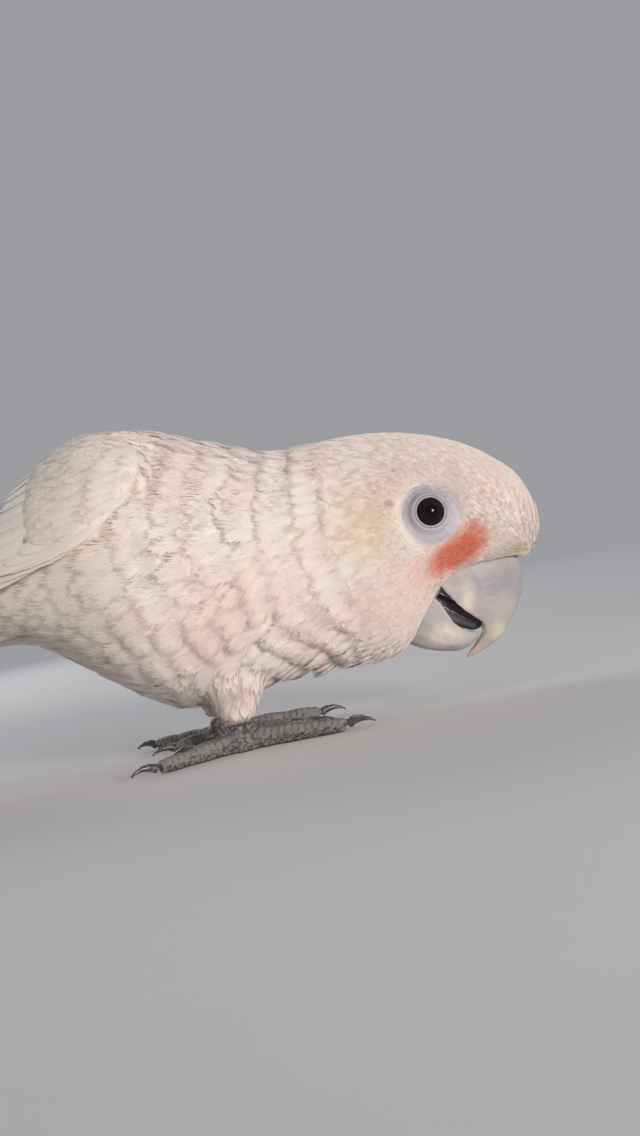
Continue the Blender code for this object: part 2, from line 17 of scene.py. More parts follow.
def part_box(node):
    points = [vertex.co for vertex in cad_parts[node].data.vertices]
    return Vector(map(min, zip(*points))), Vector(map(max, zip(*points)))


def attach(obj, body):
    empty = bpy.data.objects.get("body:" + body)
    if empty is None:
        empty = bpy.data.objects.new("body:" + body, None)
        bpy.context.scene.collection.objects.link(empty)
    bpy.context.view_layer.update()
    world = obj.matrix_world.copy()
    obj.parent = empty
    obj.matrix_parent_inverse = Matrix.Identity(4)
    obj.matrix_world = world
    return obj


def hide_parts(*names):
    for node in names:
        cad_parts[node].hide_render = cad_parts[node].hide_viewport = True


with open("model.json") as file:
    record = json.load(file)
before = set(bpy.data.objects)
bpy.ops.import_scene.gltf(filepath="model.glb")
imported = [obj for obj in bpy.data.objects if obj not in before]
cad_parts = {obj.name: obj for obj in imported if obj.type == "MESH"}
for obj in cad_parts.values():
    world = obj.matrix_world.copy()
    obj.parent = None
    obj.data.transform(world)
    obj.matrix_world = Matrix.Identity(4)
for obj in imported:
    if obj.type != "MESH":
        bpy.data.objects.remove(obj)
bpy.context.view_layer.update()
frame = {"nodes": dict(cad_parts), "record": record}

MM = 0.001
SIDES = {"right": -1, "left": 1}
FOOT_AHEAD = 3.6             # the right foot's pad stands this far ahead of x = 0
LEG_AHEAD = 1.0              # and the middle of the right leg this far
LEFT_BEHIND = 7.0            # the left leg stands this far behind the right one
LEG_ASIDE = 14.0             # each leg's distance from the bird's middle plane
STAND = np.array((frame["record"]["mounts"][0]["pos_m"][0] / MM - FOOT_AHEAD, 0, 0))
BREADTH = 0.30               # half a feather's breadth, in lengths
UV_PATCH = 0.003             # each feather's patch on the coat's bake map
draw = np.random.default_rng(62)


# ---------------------------------------------------------------- small tools

def unit(vectors):
    """The same directions with a length of one."""
    return vectors / np.maximum(np.linalg.norm(vectors, axis=-1, keepdims=True), 1e-9)


def ease(values, low, high):
    """0 below low, 1 above high, smooth between; high may be the smaller one."""
    share = np.clip((values - low) / (high - low), 0, 1)
    return share * share * (3 - 2 * share)


def between(ends, share):
    """A number on the way from the first end to the second."""
    return ends[0] + (ends[1] - ends[0]) * share


def through(rows, place):
    """A smooth curve through rows of numbers, at places counted in rows."""
    rows = np.asarray(rows, float)
    padded = np.vstack([2 * rows[0] - rows[1], rows, 2 * rows[-1] - rows[-2]])
    i = np.clip(np.floor(place).astype(int), 0, len(rows) - 2)
    t = (place - i)[..., None]
    a, b, c, d = (padded[i + k] for k in range(4))
    return b + 0.5 * t * (c - a + t * (2 * a - 5 * b + 4 * c - d + t * (3 * (b - c) + d - a)))


def middle_of(node):
    """The middle of a CAD node's box, in millimetres from the bird's x = 0."""
    low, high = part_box(node)
    return np.array((low + high) / 2 / MM) - STAND


# ---------------------------------------------------------------- materials

class Value:
    """A number or colour in a material; sums on it add nodes."""

    def __init__(self, finish, socket):
        self.finish, self.socket = finish, socket

    def math(self, operation, *terms):
        return self.finish.node("ShaderNodeMath", {"operation": operation}, dict(enumerate(terms)))

    def __add__(self, other):
        return self.math("ADD", self, other)

    def __sub__(self, other):
        return self.math("SUBTRACT", self, other)

    def __rsub__(self, other):
        return self.math("SUBTRACT", other, self)

    def __mul__(self, other):
        return self.math("MULTIPLY", self, other)

    __radd__, __rmul__ = __add__, __mul__

    def ease(self, low, high):
        """0 below low, 1 above high, smooth between."""
        settings = {"interpolation_type": "SMOOTHSTEP"}
        if low > high:
            return 1 - self.ease(high, low)
        return self.finish.node("ShaderNodeMapRange", settings, {0: self, 1: low, 2: high})


class Finish:
    """One procedural material, its Principled shader and the place that its patterns read."""

    def __init__(self, name, **sockets):
        self.material = bpy.data.materials.new(name)
        self.material.use_nodes = True
        self.tree = self.material.node_tree
        self.shader = self.tree.nodes["Principled BSDF"]
        for socket, value in sockets.items():
            self.shader.inputs[socket.replace("_", " ")].default_value = value
        raw = self.node("ShaderNodeTexCoord", {}, {}, "Object")
        scaled = self.vector("MULTIPLY", raw, (1 / MM,) * 3)
        self.place = self.vector("SUBTRACT", scaled, tuple(STAND))
        x, y, z = (self.node("ShaderNodeSeparateXYZ", {}, {0: self.place}, k) for k in range(3))
        self.x, self.z = x, z
        folded = self.node("ShaderNodeCombineXYZ", {}, {0: x, 1: y.math("ABSOLUTE", y), 2: z})
        self.folded = folded                   # the same on both sides of the bird

    def node(self, kind, settings, inputs, output=0):
        made = self.tree.nodes.new(kind)
        for name, value in settings.items():
            setattr(made, name, value)
        for name, value in inputs.items():
            if isinstance(value, Value):
                self.tree.links.new(value.socket, made.inputs[name])
            else:
                made.inputs[name].default_value = value
        return Value(self, made.outputs[output])

    def vector(self, operation, *terms):
        return self.node("ShaderNodeVectorMath", {"operation": operation}, dict(enumerate(terms)))

    def mix(self, first, second, share):
        """Two colours mixed; a colour may be three numbers."""
        first, second = (c if isinstance(c, Value) else (*c, 1) for c in (first, second))
        return self.node("ShaderNodeMix", {"data_type": "RGBA"}, {0: share, 6: first, 7: second}, 2)

    def noise(self, size, detail=2.0, place=None, output=0):
        """Cloudy noise with features about size millimetres across."""
        return self.node("ShaderNodeTexNoise", {}, {
            "Vector": place or self.place, "Scale": 1 / size, "Detail": detail}, output)

    def stretched(self, sizes, turn=(0, 0, 0)):
        """The place with its three directions turned and stretched."""
        return self.node("ShaderNodeMapping", {"vector_type": "TEXTURE"}, {
            "Vector": self.place, "Rotation": turn, "Scale": sizes})

    def patch(self, centre, sizes, turn=0.0, soft=0.45, wander=0.0):
        """1 inside a soft-edged ellipsoid on both sides of the bird, 0 outside."""
        place = self.folded
        if wander:
            cloudy = self.noise(3.0, 3.0, output=1)
            shift = self.vector("SUBTRACT", cloudy, (0.5,) * 3)
            place = self.vector("ADD", place, self.vector("MULTIPLY", shift, (wander,) * 3))
        local = self.node("ShaderNodeMapping", {"vector_type": "TEXTURE"}, {
            "Vector": place, "Location": centre, "Rotation": (0, turn, 0), "Scale": sizes})
        reach = self.node("ShaderNodeVectorMath", {"operation": "LENGTH"}, {0: local}, "Value")
        return reach.ease(1.0, 1.0 - soft)

    def washed(self, colour, washes, wander):
        """The colour with soft patches of other colours laid over it."""
        for centre, sizes, turn, soft, tone, strength in washes:
            share = self.patch(centre, sizes, turn, soft, wander) * strength
            colour = self.mix(colour, tone, share)
        return colour

    def bump(self, height, distance, strength=1.0):
        return self.node("ShaderNodeBump", {}, {
            "Height": height, "Distance": distance * MM, "Strength": strength})

    def set(self, **sockets):
        for name, value in sockets.items():
            self.tree.links.new(value.socket, self.shader.inputs[name.replace("_", " ")])
        return self.material


WARM_WHITE = (0.84, 0.725, 0.655)
CREAM_AND_SHADE = (0.77, 0.67, 0.57)
BLUSH = (0.85, 0.655, 0.59)
PINK = (0.84, 0.50, 0.40)
SALMON = (0.74, 0.15, 0.07)
EAR_YELLOW = (0.82, 0.68, 0.50)
LORE_YELLOW = (0.72, 0.60, 0.37)
GAPE_MAUVE = (0.36, 0.29, 0.32)
PARTING_SHADE = (0.36, 0.25, 0.23)
PALE_TIP = (0.92, 0.83, 0.76)
ROOT_SHADE = (0.62, 0.52, 0.46)
VANE_EDGE_SHADE = (0.60, 0.52, 0.46)
BARB_SHADE = (0.58, 0.45, 0.39)
SPECKLE = (0.66, 0.58, 0.54)
# The soft washes of the plumage: middle, reach along each axis, turn, softness, colour, strength.
WASHES = (
    ((4.0, 27, 37), (24, 14, 18), 0.0, 0.9, BLUSH, 0.85),
    ((44, 18, 28), (20, 12, 12), 0.3, 0.8, BLUSH, 0.8),
    ((45, 20, 50.0), (15, 14, 13), 0.0, 0.9, EAR_YELLOW, 0.8),
    ((84.0, 7, 36.0), (7.0, 8, 4.0), 0.2, 0.8, LORE_YELLOW, 0.8),
    ((57, 16, 34.5), (13, 10, 8.0), 0.3, 0.9, PINK, 0.55),
    ((68.4, 15, 38.8), (16, 11, 9.8), -0.36, 0.8, PINK, 0.65),
)
# The salmon patch between eye and bill, its spur upwards, and a small patch of painted shadow
# behind the eye, where the feathers part.
LORE = ((67.6, 15, 38.8), (12.2, 10, 5.5), -0.36, 0.6, 3.0)
LORE_SPUR = ((73.0, 14, 43.2), (5.8, 9, 4.8), 0.5, 0.8, 2.6)
PARTING_SHADOW = ((53.0, 15, 54.2), (2.2, 12, 1.5), 0.2, 0.8)
GAPE = ((61.5, 5, 30.5), (6.5, 11, 5.0), 0.0, 0.3)


def plumage_colour(finish, white):
    """The bird's markings: skin and feathers both take their colour from here."""
    colour = finish.mix(white, BLUSH, 0.55 * finish.noise(16, 2).ease(0.35, 0.7))
    # the wing's cream is partly its own tone and partly painted shade for the light falling off
    # towards its rear
    wing = finish.x.ease(-14, -30)
    colour = finish.mix(colour, CREAM_AND_SHADE, wing * 0.7)
    colour = finish.washed(colour, WASHES, 4.0)
    lore = finish.patch(*LORE)
    both = lore.math("MAXIMUM", lore, finish.patch(*LORE_SPUR) * 0.8)
    streak = finish.noise(0.9, 3.0).ease(0.25, 0.6)
    colour = finish.mix(colour, SALMON, both * (0.86 + 0.14 * streak))
    # painted shadow of the feather parting just behind the eye's ring
    return finish.mix(colour, PARTING_SHADE, finish.patch(*PARTING_SHADOW) * 0.75)


def make_plumage(name, vaned):
    """The finish of the feathers, with barbs along their vanes and painted shade at their roots,
    along their edges and between their barbs, or of the skin beneath them.
    """
    finish = Finish(name, Roughness=0.82, Sheen_Weight=0.12, Sheen_Roughness=0.5,
                    Subsurface_Weight=0.12, Subsurface_Scale=0.0015, Specular_IOR_Level=0.25)
    if not vaned:
        colour = plumage_colour(finish, WARM_WHITE)
        colour = finish.mix(colour, GAPE_MAUVE, finish.patch(*GAPE))
        speckle = finish.noise(0.8, 4.0)
        colour = finish.mix(colour, SPECKLE, 0.35 * speckle.ease(0.5, 0.75))
        return finish.set(Base_Color=colour, Normal=finish.bump(speckle, 0.2, 0.6))
    tint = finish.node("ShaderNodeAttribute", {"attribute_name": "tint"}, {}, "Fac")
    colour = plumage_colour(finish, finish.mix(WARM_WHITE, PALE_TIP, 0.45 * tint))
    vane = finish.node("ShaderNodeUVMap", {"uv_map": "Vane"}, {})
    u, v = (finish.node("ShaderNodeSeparateXYZ", {}, {0: vane}, k) for k in range(2))
    across = u.math("ABSOLUTE", u - 0.5)
    wobble = finish.noise(2.2, 2.0)
    slant = v * 12.0 - across * 90.0 + wobble * 9.0
    barb = slant.math("SINE", slant)
    shade = 0.9 + 0.1 * barb
    # painted shade at each feather's root, where it lies under the feathers above
    colour = finish.mix(colour, ROOT_SHADE, 0.12 * v.ease(4.5, 0.5))
    # painted shade in a band along both edges of each vane, where neighbouring feathers overlap it
    edge = 0.14 * across.ease(0.16, 0.42) * across.ease(0.49, 0.46)
    colour = finish.mix(colour, VANE_EDGE_SHADE, edge)
    # painted shade in the stripes between the barbs, which also make the bump
    colour = finish.mix(BARB_SHADE, colour, 0.85 + 0.15 * shade)
    return finish.set(Base_Color=colour, Normal=finish.bump(barb, 0.04, 0.35))


# ---------------------------------------------------------------- making meshes

def add_piece(name, mesh, finish, replaces=()):
    """A mesh becomes a piece of the one still body, in place of the CAD nodes that it replaces."""
    piece = bpy.data.objects.new(name, mesh)
    bpy.context.scene.collection.objects.link(piece)
    mesh.materials.clear()
    mesh.materials.append(finish)
    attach(piece, "root")
    if replaces:
        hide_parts(*replaces)
    return piece


def transform(shape, matrix):
    """Turn, stretch and move the whole of a bmesh."""
    bmesh.ops.transform(shape, matrix=matrix, verts=shape.verts)


def smooth(shape, verts, times=1):
    """Even out some vertices, several times over."""
    for _ in range(times):
        bmesh.ops.smooth_vert(shape, verts=verts, factor=0.5, use_axis_x=True, use_axis_y=True,
                              use_axis_z=True)


def from_bmesh(name, shape, finish, replaces=()):
    """A bmesh in millimetres becomes a piece in the frame."""
    transform(shape, Matrix.Scale(MM, 4) @ Matrix.Translation(Vector(STAND)))
    mesh = bpy.data.meshes.new(name)
    shape.to_mesh(mesh)
    shape.free()
    mesh.shade_smooth()
    return add_piece(name, mesh, finish, replaces)


def cad_copy(nodes, swell=0.0):
    """Copies of CAD nodes as one bmesh in millimetres, swollen by one amount or each by its own."""
    whole = bmesh.new()
    swells = []
    for k, node in enumerate(nodes):
        start = len(whole.verts)
        whole.from_mesh(frame["nodes"][node].data)
        whole.verts.ensure_lookup_table()
        bmesh.ops.remove_doubles(whole, verts=whole.verts[start:], dist=1e-6)
        swells += [swell if np.isscalar(swell) else swell[k]] * (len(whole.verts) - start)
    transform(whole, Matrix.Translation(Vector(-STAND)) @ Matrix.Scale(1 / MM, 4))
    whole.normal_update()
    push(whole, swells)
    return whole


def remeshed(shape, voxel, smoothing):
    """The shape's solids fused into one even skin of small quads."""
    mesh = bpy.data.meshes.new("rough")
    shape.to_mesh(mesh)
    shape.free()
    rough = bpy.data.objects.new("rough", mesh)
    bpy.context.scene.collection.objects.link(rough)
    step = rough.modifiers.new("remesh", "REMESH")
    step.mode, step.voxel_size = "VOXEL", voxel
    even = bmesh.new()
    even.from_object(rough, bpy.context.evaluated_depsgraph_get())
    bpy.data.objects.remove(rough, do_unlink=True)
    smooth(even, even.verts, smoothing)
    even.normal_update()
    return even


def arrays_of(shape):
    """The places and the normals of a bmesh's vertices."""
    points = np.array([v.co for v in shape.verts])
    normals = np.array([v.normal for v in shape.verts])
    return points, normals


def push(shape, distances):
    """Move each vertex out along its normal by its own distance."""
    for vert, distance in zip(shape.verts, distances):
        vert.co += vert.normal * distance
    shape.normal_update()


# ---------------------------------------------------------------- the skin

# The middle of an eye laid on the left side, and the rim where the bill leaves the feathers.
EYE = np.mean([middle_of("eye_right") * (1, -1, 1), middle_of("eye_left")], axis=0)
RING_DROP = 0.7              # the bare ring sits a little lower than the eye
RING_RADIUS = 7.4            # where the feathers round it start
BILL_ROOT = np.array([(83.0, 0.0, 38.4), (80.0, 8.0, 36.0), (70.0, 9.0, 33.5), (60.0, 8.0, 33.5),
                      (56.0, 7.4, 29.0), (48.0, 6.5, 20.5)])
FLESH = ["head", "neck", "trunk", "rump", "crest", "leg_right", "leg_left",
         "wing_right_shoulder", "wing_left_shoulder"]


def cloud(points, sizes, shift=0.0):
    """Smooth noise at each point, with features of the given sizes along x, y and z."""
    return np.array([noise.noise(Vector(p)) for p in points / sizes + (shift, 0, 0)])


def fold(points):
    """Both sides of the bird laid on its left side."""
    return points * (1, 0, 1) + np.abs(points) * (0, 1, 0)


def from_eye(points):
    """How far points are from the middle of the bare ring, seen from the side."""
    gap = fold(points) - EYE + (0, 0, RING_DROP)
    side = np.hypot(gap[:, 0], gap[:, 2])
    return side + 50 * (gap[:, 1] < -9)


def from_bill(points):
    """How far points are from the rim where the bill leaves the feathers."""
    flat = fold(points)[:, None] - BILL_ROOT[None]
    return np.linalg.norm(flat, axis=2).min(axis=1)


def from_leg(points):
    """How far points are ahead of the middle of the leg on their side, and outside it."""
    x, y, _ = points.T
    return np.stack([x - LEG_AHEAD + LEFT_BEHIND * (y > 0), np.abs(y) - LEG_ASIDE])


def on_leg(points):
    """1 on the feathered legs, 0 on the body."""
    reach = np.hypot(*from_leg(points) / ((1.15,), (1,)))
    return ease(points[:, 2], 27, 20) * ease(reach, 13, 10)


def on_brow(points):
    """1 on the soft fringe of the forehead that overhangs the bill."""
    return ease(points[:, 0], 83, 88) * ease(points[:, 2], 47.5, 43)


# The lower edge of the folded wing's smooth front: how far along, and how high.
SHOULDER_EDGE = ((-50, 54), (-34, 57.5), (-20, 62), (-10, 69), (-5, 76))


def on_shoulder(points):
    """1 on the folded wing's smooth front, where the coverts lie flat."""
    flat = fold(points)
    edge = np.interp(flat[:, 0], *zip(*SHOULDER_EDGE))
    return ease(flat[:, 0], -4, -8) * ease(flat[:, 2] - edge, -1, 2) * ease(flat[:, 1], 5, 9)


# Lengths of the feathers from the rump to the forehead: how far along, and how long.
LENGTHS = ((-140, 19.0), (-90, 16.0), (-45, 13.0), (0, 11.0), (20, 9.2), (36, 7.2), (50, 6.2),
           (66, 5.4), (80, 4.6), (93, 4.0))


def feather_length(points):
    """How long a feather is that grows at each point."""
    length = np.interp(points[:, 0], *zip(*LENGTHS))
    length *= 0.5 + 0.5 * ease(from_eye(points), 9, 18)
    length *= 0.55 + 0.45 * ease(from_bill(points), 2, 12)
    length += (8.0 - length) * on_leg(points)
    return length * (1 - ease(points[:, 0], -60, 0) * 0.5 * on_shoulder(points))


def coat_depth(points):
    """How deep the skin lies under the tips of its feathers."""
    flat = np.maximum(0.72 * on_shoulder(points), 0.5 * ease(points[:, 0], 30, 48))
    return 0.2 + 0.08 * feather_length(points) * (1 - flat)


FOLD = 8.2                   # from one fold of the coat to the next on the neck


def fold_phase(points):
    """How far each point is on the way from one fold to the next, and how strong they are there."""
    x, _, z = points.T
    drift = np.array([5 * noise.noise(Vector(p) / 22) + 1.2 * noise.noise(Vector(p) / 8)
                      for p in points])
    bend = np.where(z > 50, 7 * ((z - 50) / 30) ** 2, 15 * ((z - 50) / 35) ** 2)
    strength = ease(x, -30, -4) * ease(x, 45, 32) * (0.25 + 0.75 * ease(z, 84, 66))
    strength *= 1 - on_leg(points)
    return ((bend - x - drift) / FOLD) % 1.0, strength


# The folded wing's front rim: how high, and how far along.
WING_FRONT = ((58.6, -34), (63, -20), (69.6, -10.6), (75.6, -5.6), (80.4, -5.6), (85.4, -10.6),
              (89.2, -20))


def ruffle(points):
    """Soft folds round neck and breast, where the coat is pushed together, and the wing's rim."""
    x, y, z = points.T
    share, strength = fold_phase(points)
    rise = share * ease(share, 1.0, 0.80)
    height = 0.6 + 0.4 * cloud(points, (14, 20, 20))
    broad = cloud(points, (11, 18, 18), 5)
    broad *= ease(x, 50, 36) * (1 - on_shoulder(points)) * (1 - on_leg(points))
    # a crease up the flank to the wing's edge, and a groove just ahead of the wing's front rim
    crease = np.exp(-((x + 17 + 4 * broad) / 1.6) ** 2) * ease(z, 46, 52) * ease(z, 66, 60)
    ahead = x - np.interp(z, *zip(*WING_FRONT))
    groove = np.exp(-((ahead - 2.2) / 2.2) ** 2) * ease(z, 60, 64) * ease(np.abs(y), 7, 11)
    shoulder = on_shoulder(points) * (0.5 - 1.4 * ease(x, -33, -42))
    folds = strength * height * (2.6 * rise - 1.0)
    return folds + 0.5 * broad - 1.3 * crease - 1.4 * groove + shoulder


SWELL = 0.3                  # makes neighbouring solids overlap, so that they fuse
SKIN_VOXEL = 1.1
skin = remeshed(cad_copy(FLESH, SWELL), SKIN_VOXEL, 8)
points, _ = arrays_of(skin)
push(skin, ruffle(points) - SWELL - coat_depth(points))
smooth(skin, skin.verts)
bmesh.ops.triangulate(skin, faces=skin.faces)
skin.normal_update()
skin_tree = BVHTree.FromBMesh(skin)
skin_points, _ = arrays_of(skin)
skin_faces = np.array([[v.index for v in f.verts] for f in skin.faces])


# ---------------------------------------------------------------- the lie of the feathers

FACE_WHORL = np.array((87.5, 0.0, 38.0))     # over the bill's root, where the lie starts


def lie(points, normals):
    """Which way feathers point: out from the bill's root, back along the body, down the legs."""
    x, z = points[:, 0], points[:, 2]
    face = ease(x, 34, 62)[:, None]
    low = (ease(z, 62, 25) * ease(x, -30, 0))[:, None]
    course = np.array((-1.0, 0.0, -0.12)) + low * (0, 0, -0.30)
    course = course * (1 - face) + unit((points - FACE_WHORL) * (1, 0.8, 1)) * face
    # next to the bare ring, feathers are turned aside that would point in over it
    rim = fold(points) - EYE + (0, 0, RING_DROP)
    rim[:, 1] = 0
    outward = unit(rim)
    inward = np.minimum((course * outward).sum(1), 0)[:, None]
    close = ease(from_eye(points), 15, 9.5)[:, None]
    course = course - outward * inward * close * 0.85
    leg = on_leg(points)[:, None]
    course = course * (1 - leg) + np.array((-0.15, 0, -1.0)) * leg
    return unit(course - normals * (course * normals).sum(1)[:, None])


def settle(points):
    """The nearest places on the skin, and the normals there."""
    found = [skin_tree.find_nearest(Vector(p)) for p in points]
    return np.array([f[0] for f in found]), np.array([f[1] for f in found])


ALONG, ACROSS = 5, 3         # places along and across the net that a feather is bent over
# How far the skin may fall away, in steps, before a feather starts to go straight on, and does.
SPRING = (0.35, 0.7)


def nets_on_skin(roots, normals, lengths, half_widths):
    """For each feather, places along its middle with one to each side, laid on the skin.

    The last of the three results is false where the skin falls away right behind the root.
    """
    places, ways = [], []
    firm = np.ones(len(roots), bool)
    steps, halves = (lengths / (ALONG - 1))[:, None], half_widths[:, None]
    loose = np.zeros_like(steps)
    held = on_leg(roots)[:, None]
    here, up = roots, normals
    course = lie(here, up)
    turn = draw.normal(0, 0.12, len(roots))[:, None]
    course = unit(course + np.cross(up, course) * turn)
    for k in range(ALONG):
        if k:
            ahead = here + course * steps
            spot, way = settle(ahead)
            off = np.linalg.norm(spot - ahead, axis=1, keepdims=True) / steps
            loose = np.maximum(loose, ease(off, *SPRING) * (1 - held))
            if k == 1:
                firm = loose[:, 0] < 0.3
            here, up = spot + (ahead - spot) * loose, unit(way + (up - way) * loose)
            course = course + 0.5 * (lie(here, up) - course) * (1 - loose)
            course = unit(course - up * (course * up).sum(1)[:, None])
        aside = np.cross(up, course)
        for sign in (-1, 1):
            if sign == 1:
                places.append(here)
                ways.append(up)
            reach = here + aside * sign * halves
            spot, way = settle(reach)
            places.append(spot + (reach - spot) * loose)
            ways.append(unit(way * (1 - loose) + up))
    return np.stack(places, 1), np.stack(ways, 1), firm


# ---------------------------------------------------------------- feathers

def curve_weights(values, knots):
    """Lagrange weights of the knots at each value."""
    weights = np.ones((len(values), len(knots)))
    for i, a in enumerate(knots):
        for b in np.delete(knots, i):
            weights[:, i] *= (values - b) / (a - b)
    return weights


def vane(rows, lanes, sweep, fray, arch, seed, shaft=0.0, blunt=2.4, full=0.55, length=1.0,
         breadth=1.0):
    """A closed vane: places along it, across it and above it, with an edge notched into barbs."""
    pick = np.random.default_rng(seed)
    places, faces = [], []
    for i in range(rows + 1):
        s = i / rows
        tip = max(0.0, (s - full) / (1.0 - full))
        width = max(min(1.0, (s + 0.05) / 0.32) ** 0.7 * (1 - tip ** blunt) ** 0.5, 0.06)
        tooth = i % 2
        for side in (-1, 1):
            for lane in lanes if side > 0 else reversed(lanes[1:]):
                cut = (0.4 + 0.9 * pick.random()) * (1 - tooth) + 0.4 * pick.random()
                notch = 1 - fray * cut * lane ** 3
                t = side * lane * width * notch
                ridge = shaft * (lane == 0) * (1 - 0.7 * s)
                height = ridge - arch * t * t + 0.10 * arch * lane * (tooth - 0.5)
                along = s + sweep * (abs(t) ** 1.2) * (0.4 + 0.6 * min(1, 2.5 * (1 - s)))
                places.append((along * length, t * breadth, height))
    count = 2 * len(lanes) - 1
    for i in range(rows):
        a, b = i * count, (i + 1) * count
        faces += [(b + j, b + j + 1, a + j + 1, a + j) for j in range(count - 1)]
        faces.append((b + count - 1, b, a, a + count - 1))
    last = rows * count
    faces.append(tuple(range(count)))
    faces.append(tuple(range(last, last + count))[::-1])
    return places, faces


def add_barb(places, faces, start, end, half, rise, low, high):
    """One thin closed barb from start to end, each given as (along, across) in lengths."""
    start, end = np.array(start), np.array(end)
    way = (end - start) / np.linalg.norm(end - start)
    aside = np.array((-way[1], way[0])) * half
    first = len(places)
    corners = ((start - aside, low), (start + aside, low), (start, low + rise), (end, high))
    places += [(spot[0], spot[1] / BREADTH, height) for spot, height in corners]
    sides = ((3, 1, 0), (3, 2, 1), (3, 0, 2), (1, 2, 0))
    faces += [tuple(first + k for k in face) for face in sides]


def plume(base, fringe, strands, arch, seed, barb=0.016, ragged=0.12):
    """A soft feather: a vane, a fringe of barbs round its edge and strands over its face."""
    places, faces = map(list, base)
    pick = np.random.default_rng(seed + 100)
    for k in range(fringe):
        angle = math.radians(118 * (2 * (k + pick.uniform(0.2, 0.8)) / fringe - 1))
        reach = 1 + ragged * pick.uniform(-1.0, 0.7)
        end = (0.55 + 0.44 * math.cos(angle) * reach, 0.95 * BREADTH * math.sin(angle) * reach)
        start = (max(0.04, end[0] - 0.30 - 0.10 * pick.random()), end[1] * 0.45)
        t = end[1] / BREADTH
        add_barb(places, faces, start, end, barb * pick.uniform(0.7, 1.3), 0.035,
                 -arch * (0.45 * t) ** 2 - 0.02, -arch * t * t + 0.03 * pick.uniform(-0.8, 0.8))
    for k in range(strands):
        t = pick.uniform(-0.75, 0.75)
        s = pick.uniform(0.12, 0.66)
        start = (s, t * 0.35 * BREADTH)
        end = (min(1.0, s + 0.30), t * BREADTH)
        add_barb(places, faces, start, end, barb * pick.uniform(0.6, 1.0), 0.035,
                 -arch * (0.35 * t) ** 2 - 0.012, -arch * t * t + 0.012)
    return places, faces


def tuft(count, seed, barb=0.035, spread=0.9, arch=0.2):
    """A small soft feather of fine barbs that fan out from its root."""
    places, faces = [], []
    pick = np.random.default_rng(seed + 200)
    for k in range(count):
        share = 2 * (k + pick.uniform(0.15, 0.85)) / count - 1
        end = (1.0 - 0.32 * share ** 2 + 0.14 * pick.uniform(-1, 1), spread * BREADTH * share)
        start = (0.10 + 0.22 * pick.random() * abs(share), end[1] * 0.3)
        add_barb(places, faces, start, end, barb * pick.uniform(0.7, 1.2), 0.06,
                 -0.05, -arch * share ** 2 + 0.05 * pick.uniform(-1.0, 1.0))
    return places, faces


def both(first, second):
    """Two shapes as one template."""
    start = len(first[0])
    return first[0] + second[0], first[1] + [tuple(start + k for k in face) for face in second[1]]


def lay(template, nets, ways, lifts, scales, flow, tints):
    """Copies of one feather bent over their nets: its points, faces, maps and tints."""
    shape, faces = np.array(template[0]), template[1]
    lengths = np.linalg.norm(np.diff(nets[:, 1::ACROSS], axis=1), axis=2).sum(1)
    across_uv = np.tile(shape[:, 1] * 0.5 + 0.5, len(nets))
    along_uv = (shape[None, :, 0] * lengths[:, None]).ravel()
    along = curve_weights(shape[:, 0], np.linspace(0, 1, ALONG))
    across = curve_weights(shape[:, 1], np.linspace(-1, 1, ACROSS))
    weights = (along[:, :, None] * across[:, None, :]).reshape(len(shape), ALONG * ACROSS)
    spots = np.einsum("vk,fkc->fvc", weights, nets)
    up = unit(np.einsum("vk,fkc->fvc", weights, ways))
    low, high, twist = (lifts[:, k, None] for k in range(3))
    height = low + (high - low) * shape[None, :, 0] + twist * shape[None, :, 1]
    height = height + shape[None, :, 2] * scales[:, None]
    spots = (spots + up * height[:, :, None]).reshape(-1, 3)
    count, per = len(nets), len(shape)
    corners = np.concatenate([np.array(face) for face in faces])
    loops = (corners[None] + (np.arange(count) * per)[:, None]).ravel()
    sizes = np.tile([len(face) for face in faces], count)
    patch = np.stack([shape[:, 0] - 0.5, shape[:, 1] * 0.5], 1) * UV_PATCH
    bake = (flow[:, None] + patch[None]).reshape(-1, 2)
    return spots, loops, sizes, bake, np.stack([across_uv, along_uv], 1), np.repeat(tints, per)


def join(name, batches, finish, replaces=()):
    """Batches of laid feathers as one mesh with its two maps."""
    offsets = np.cumsum([0] + [len(batch[0]) for batch in batches])
    loops = np.concatenate([batch[1] + offset for batch, offset in zip(batches, offsets)])
    spots, _, sizes, bake, vanes, tints = (np.concatenate(part) for part in zip(*batches))
    mesh = bpy.data.meshes.new(name)
    mesh.vertices.add(len(spots))
    mesh.vertices.foreach_set("co", ((spots + STAND) * MM).ravel().astype(np.float32))
    mesh.loops.add(len(loops))
    mesh.loops.foreach_set("vertex_index", loops.astype(np.int32))
    mesh.polygons.add(len(sizes))
    starts = np.concatenate([[0], np.cumsum(sizes)[:-1]])
    mesh.polygons.foreach_set("loop_start", starts.astype(np.int32))
    mesh.update(calc_edges=True)
    mesh.shade_smooth()
    for map_name, values in (("OFBake", bake), ("Vane", vanes)):
        layer = mesh.uv_layers.new(name=map_name)
        layer.uv.foreach_set("vector", values[loops].ravel().astype(np.float32))
    tint = mesh.attributes.new("tint", "FLOAT", "POINT")
    tint.data.foreach_set("value", tints.astype(np.float32))
    mesh.set_sharp_from_angle(angle=math.radians(70))
    print(name, len(offsets) - 1, "batches", int((sizes - 2).sum()), "triangles")
    return add_piece(name, mesh, finish, replaces)


# The middle line of the body, which its bake map goes round: how far along, and how high.
BODY_AXIS = ((-140, 27), (-50, 56), (0, 48), (50, 45), (90, 44))


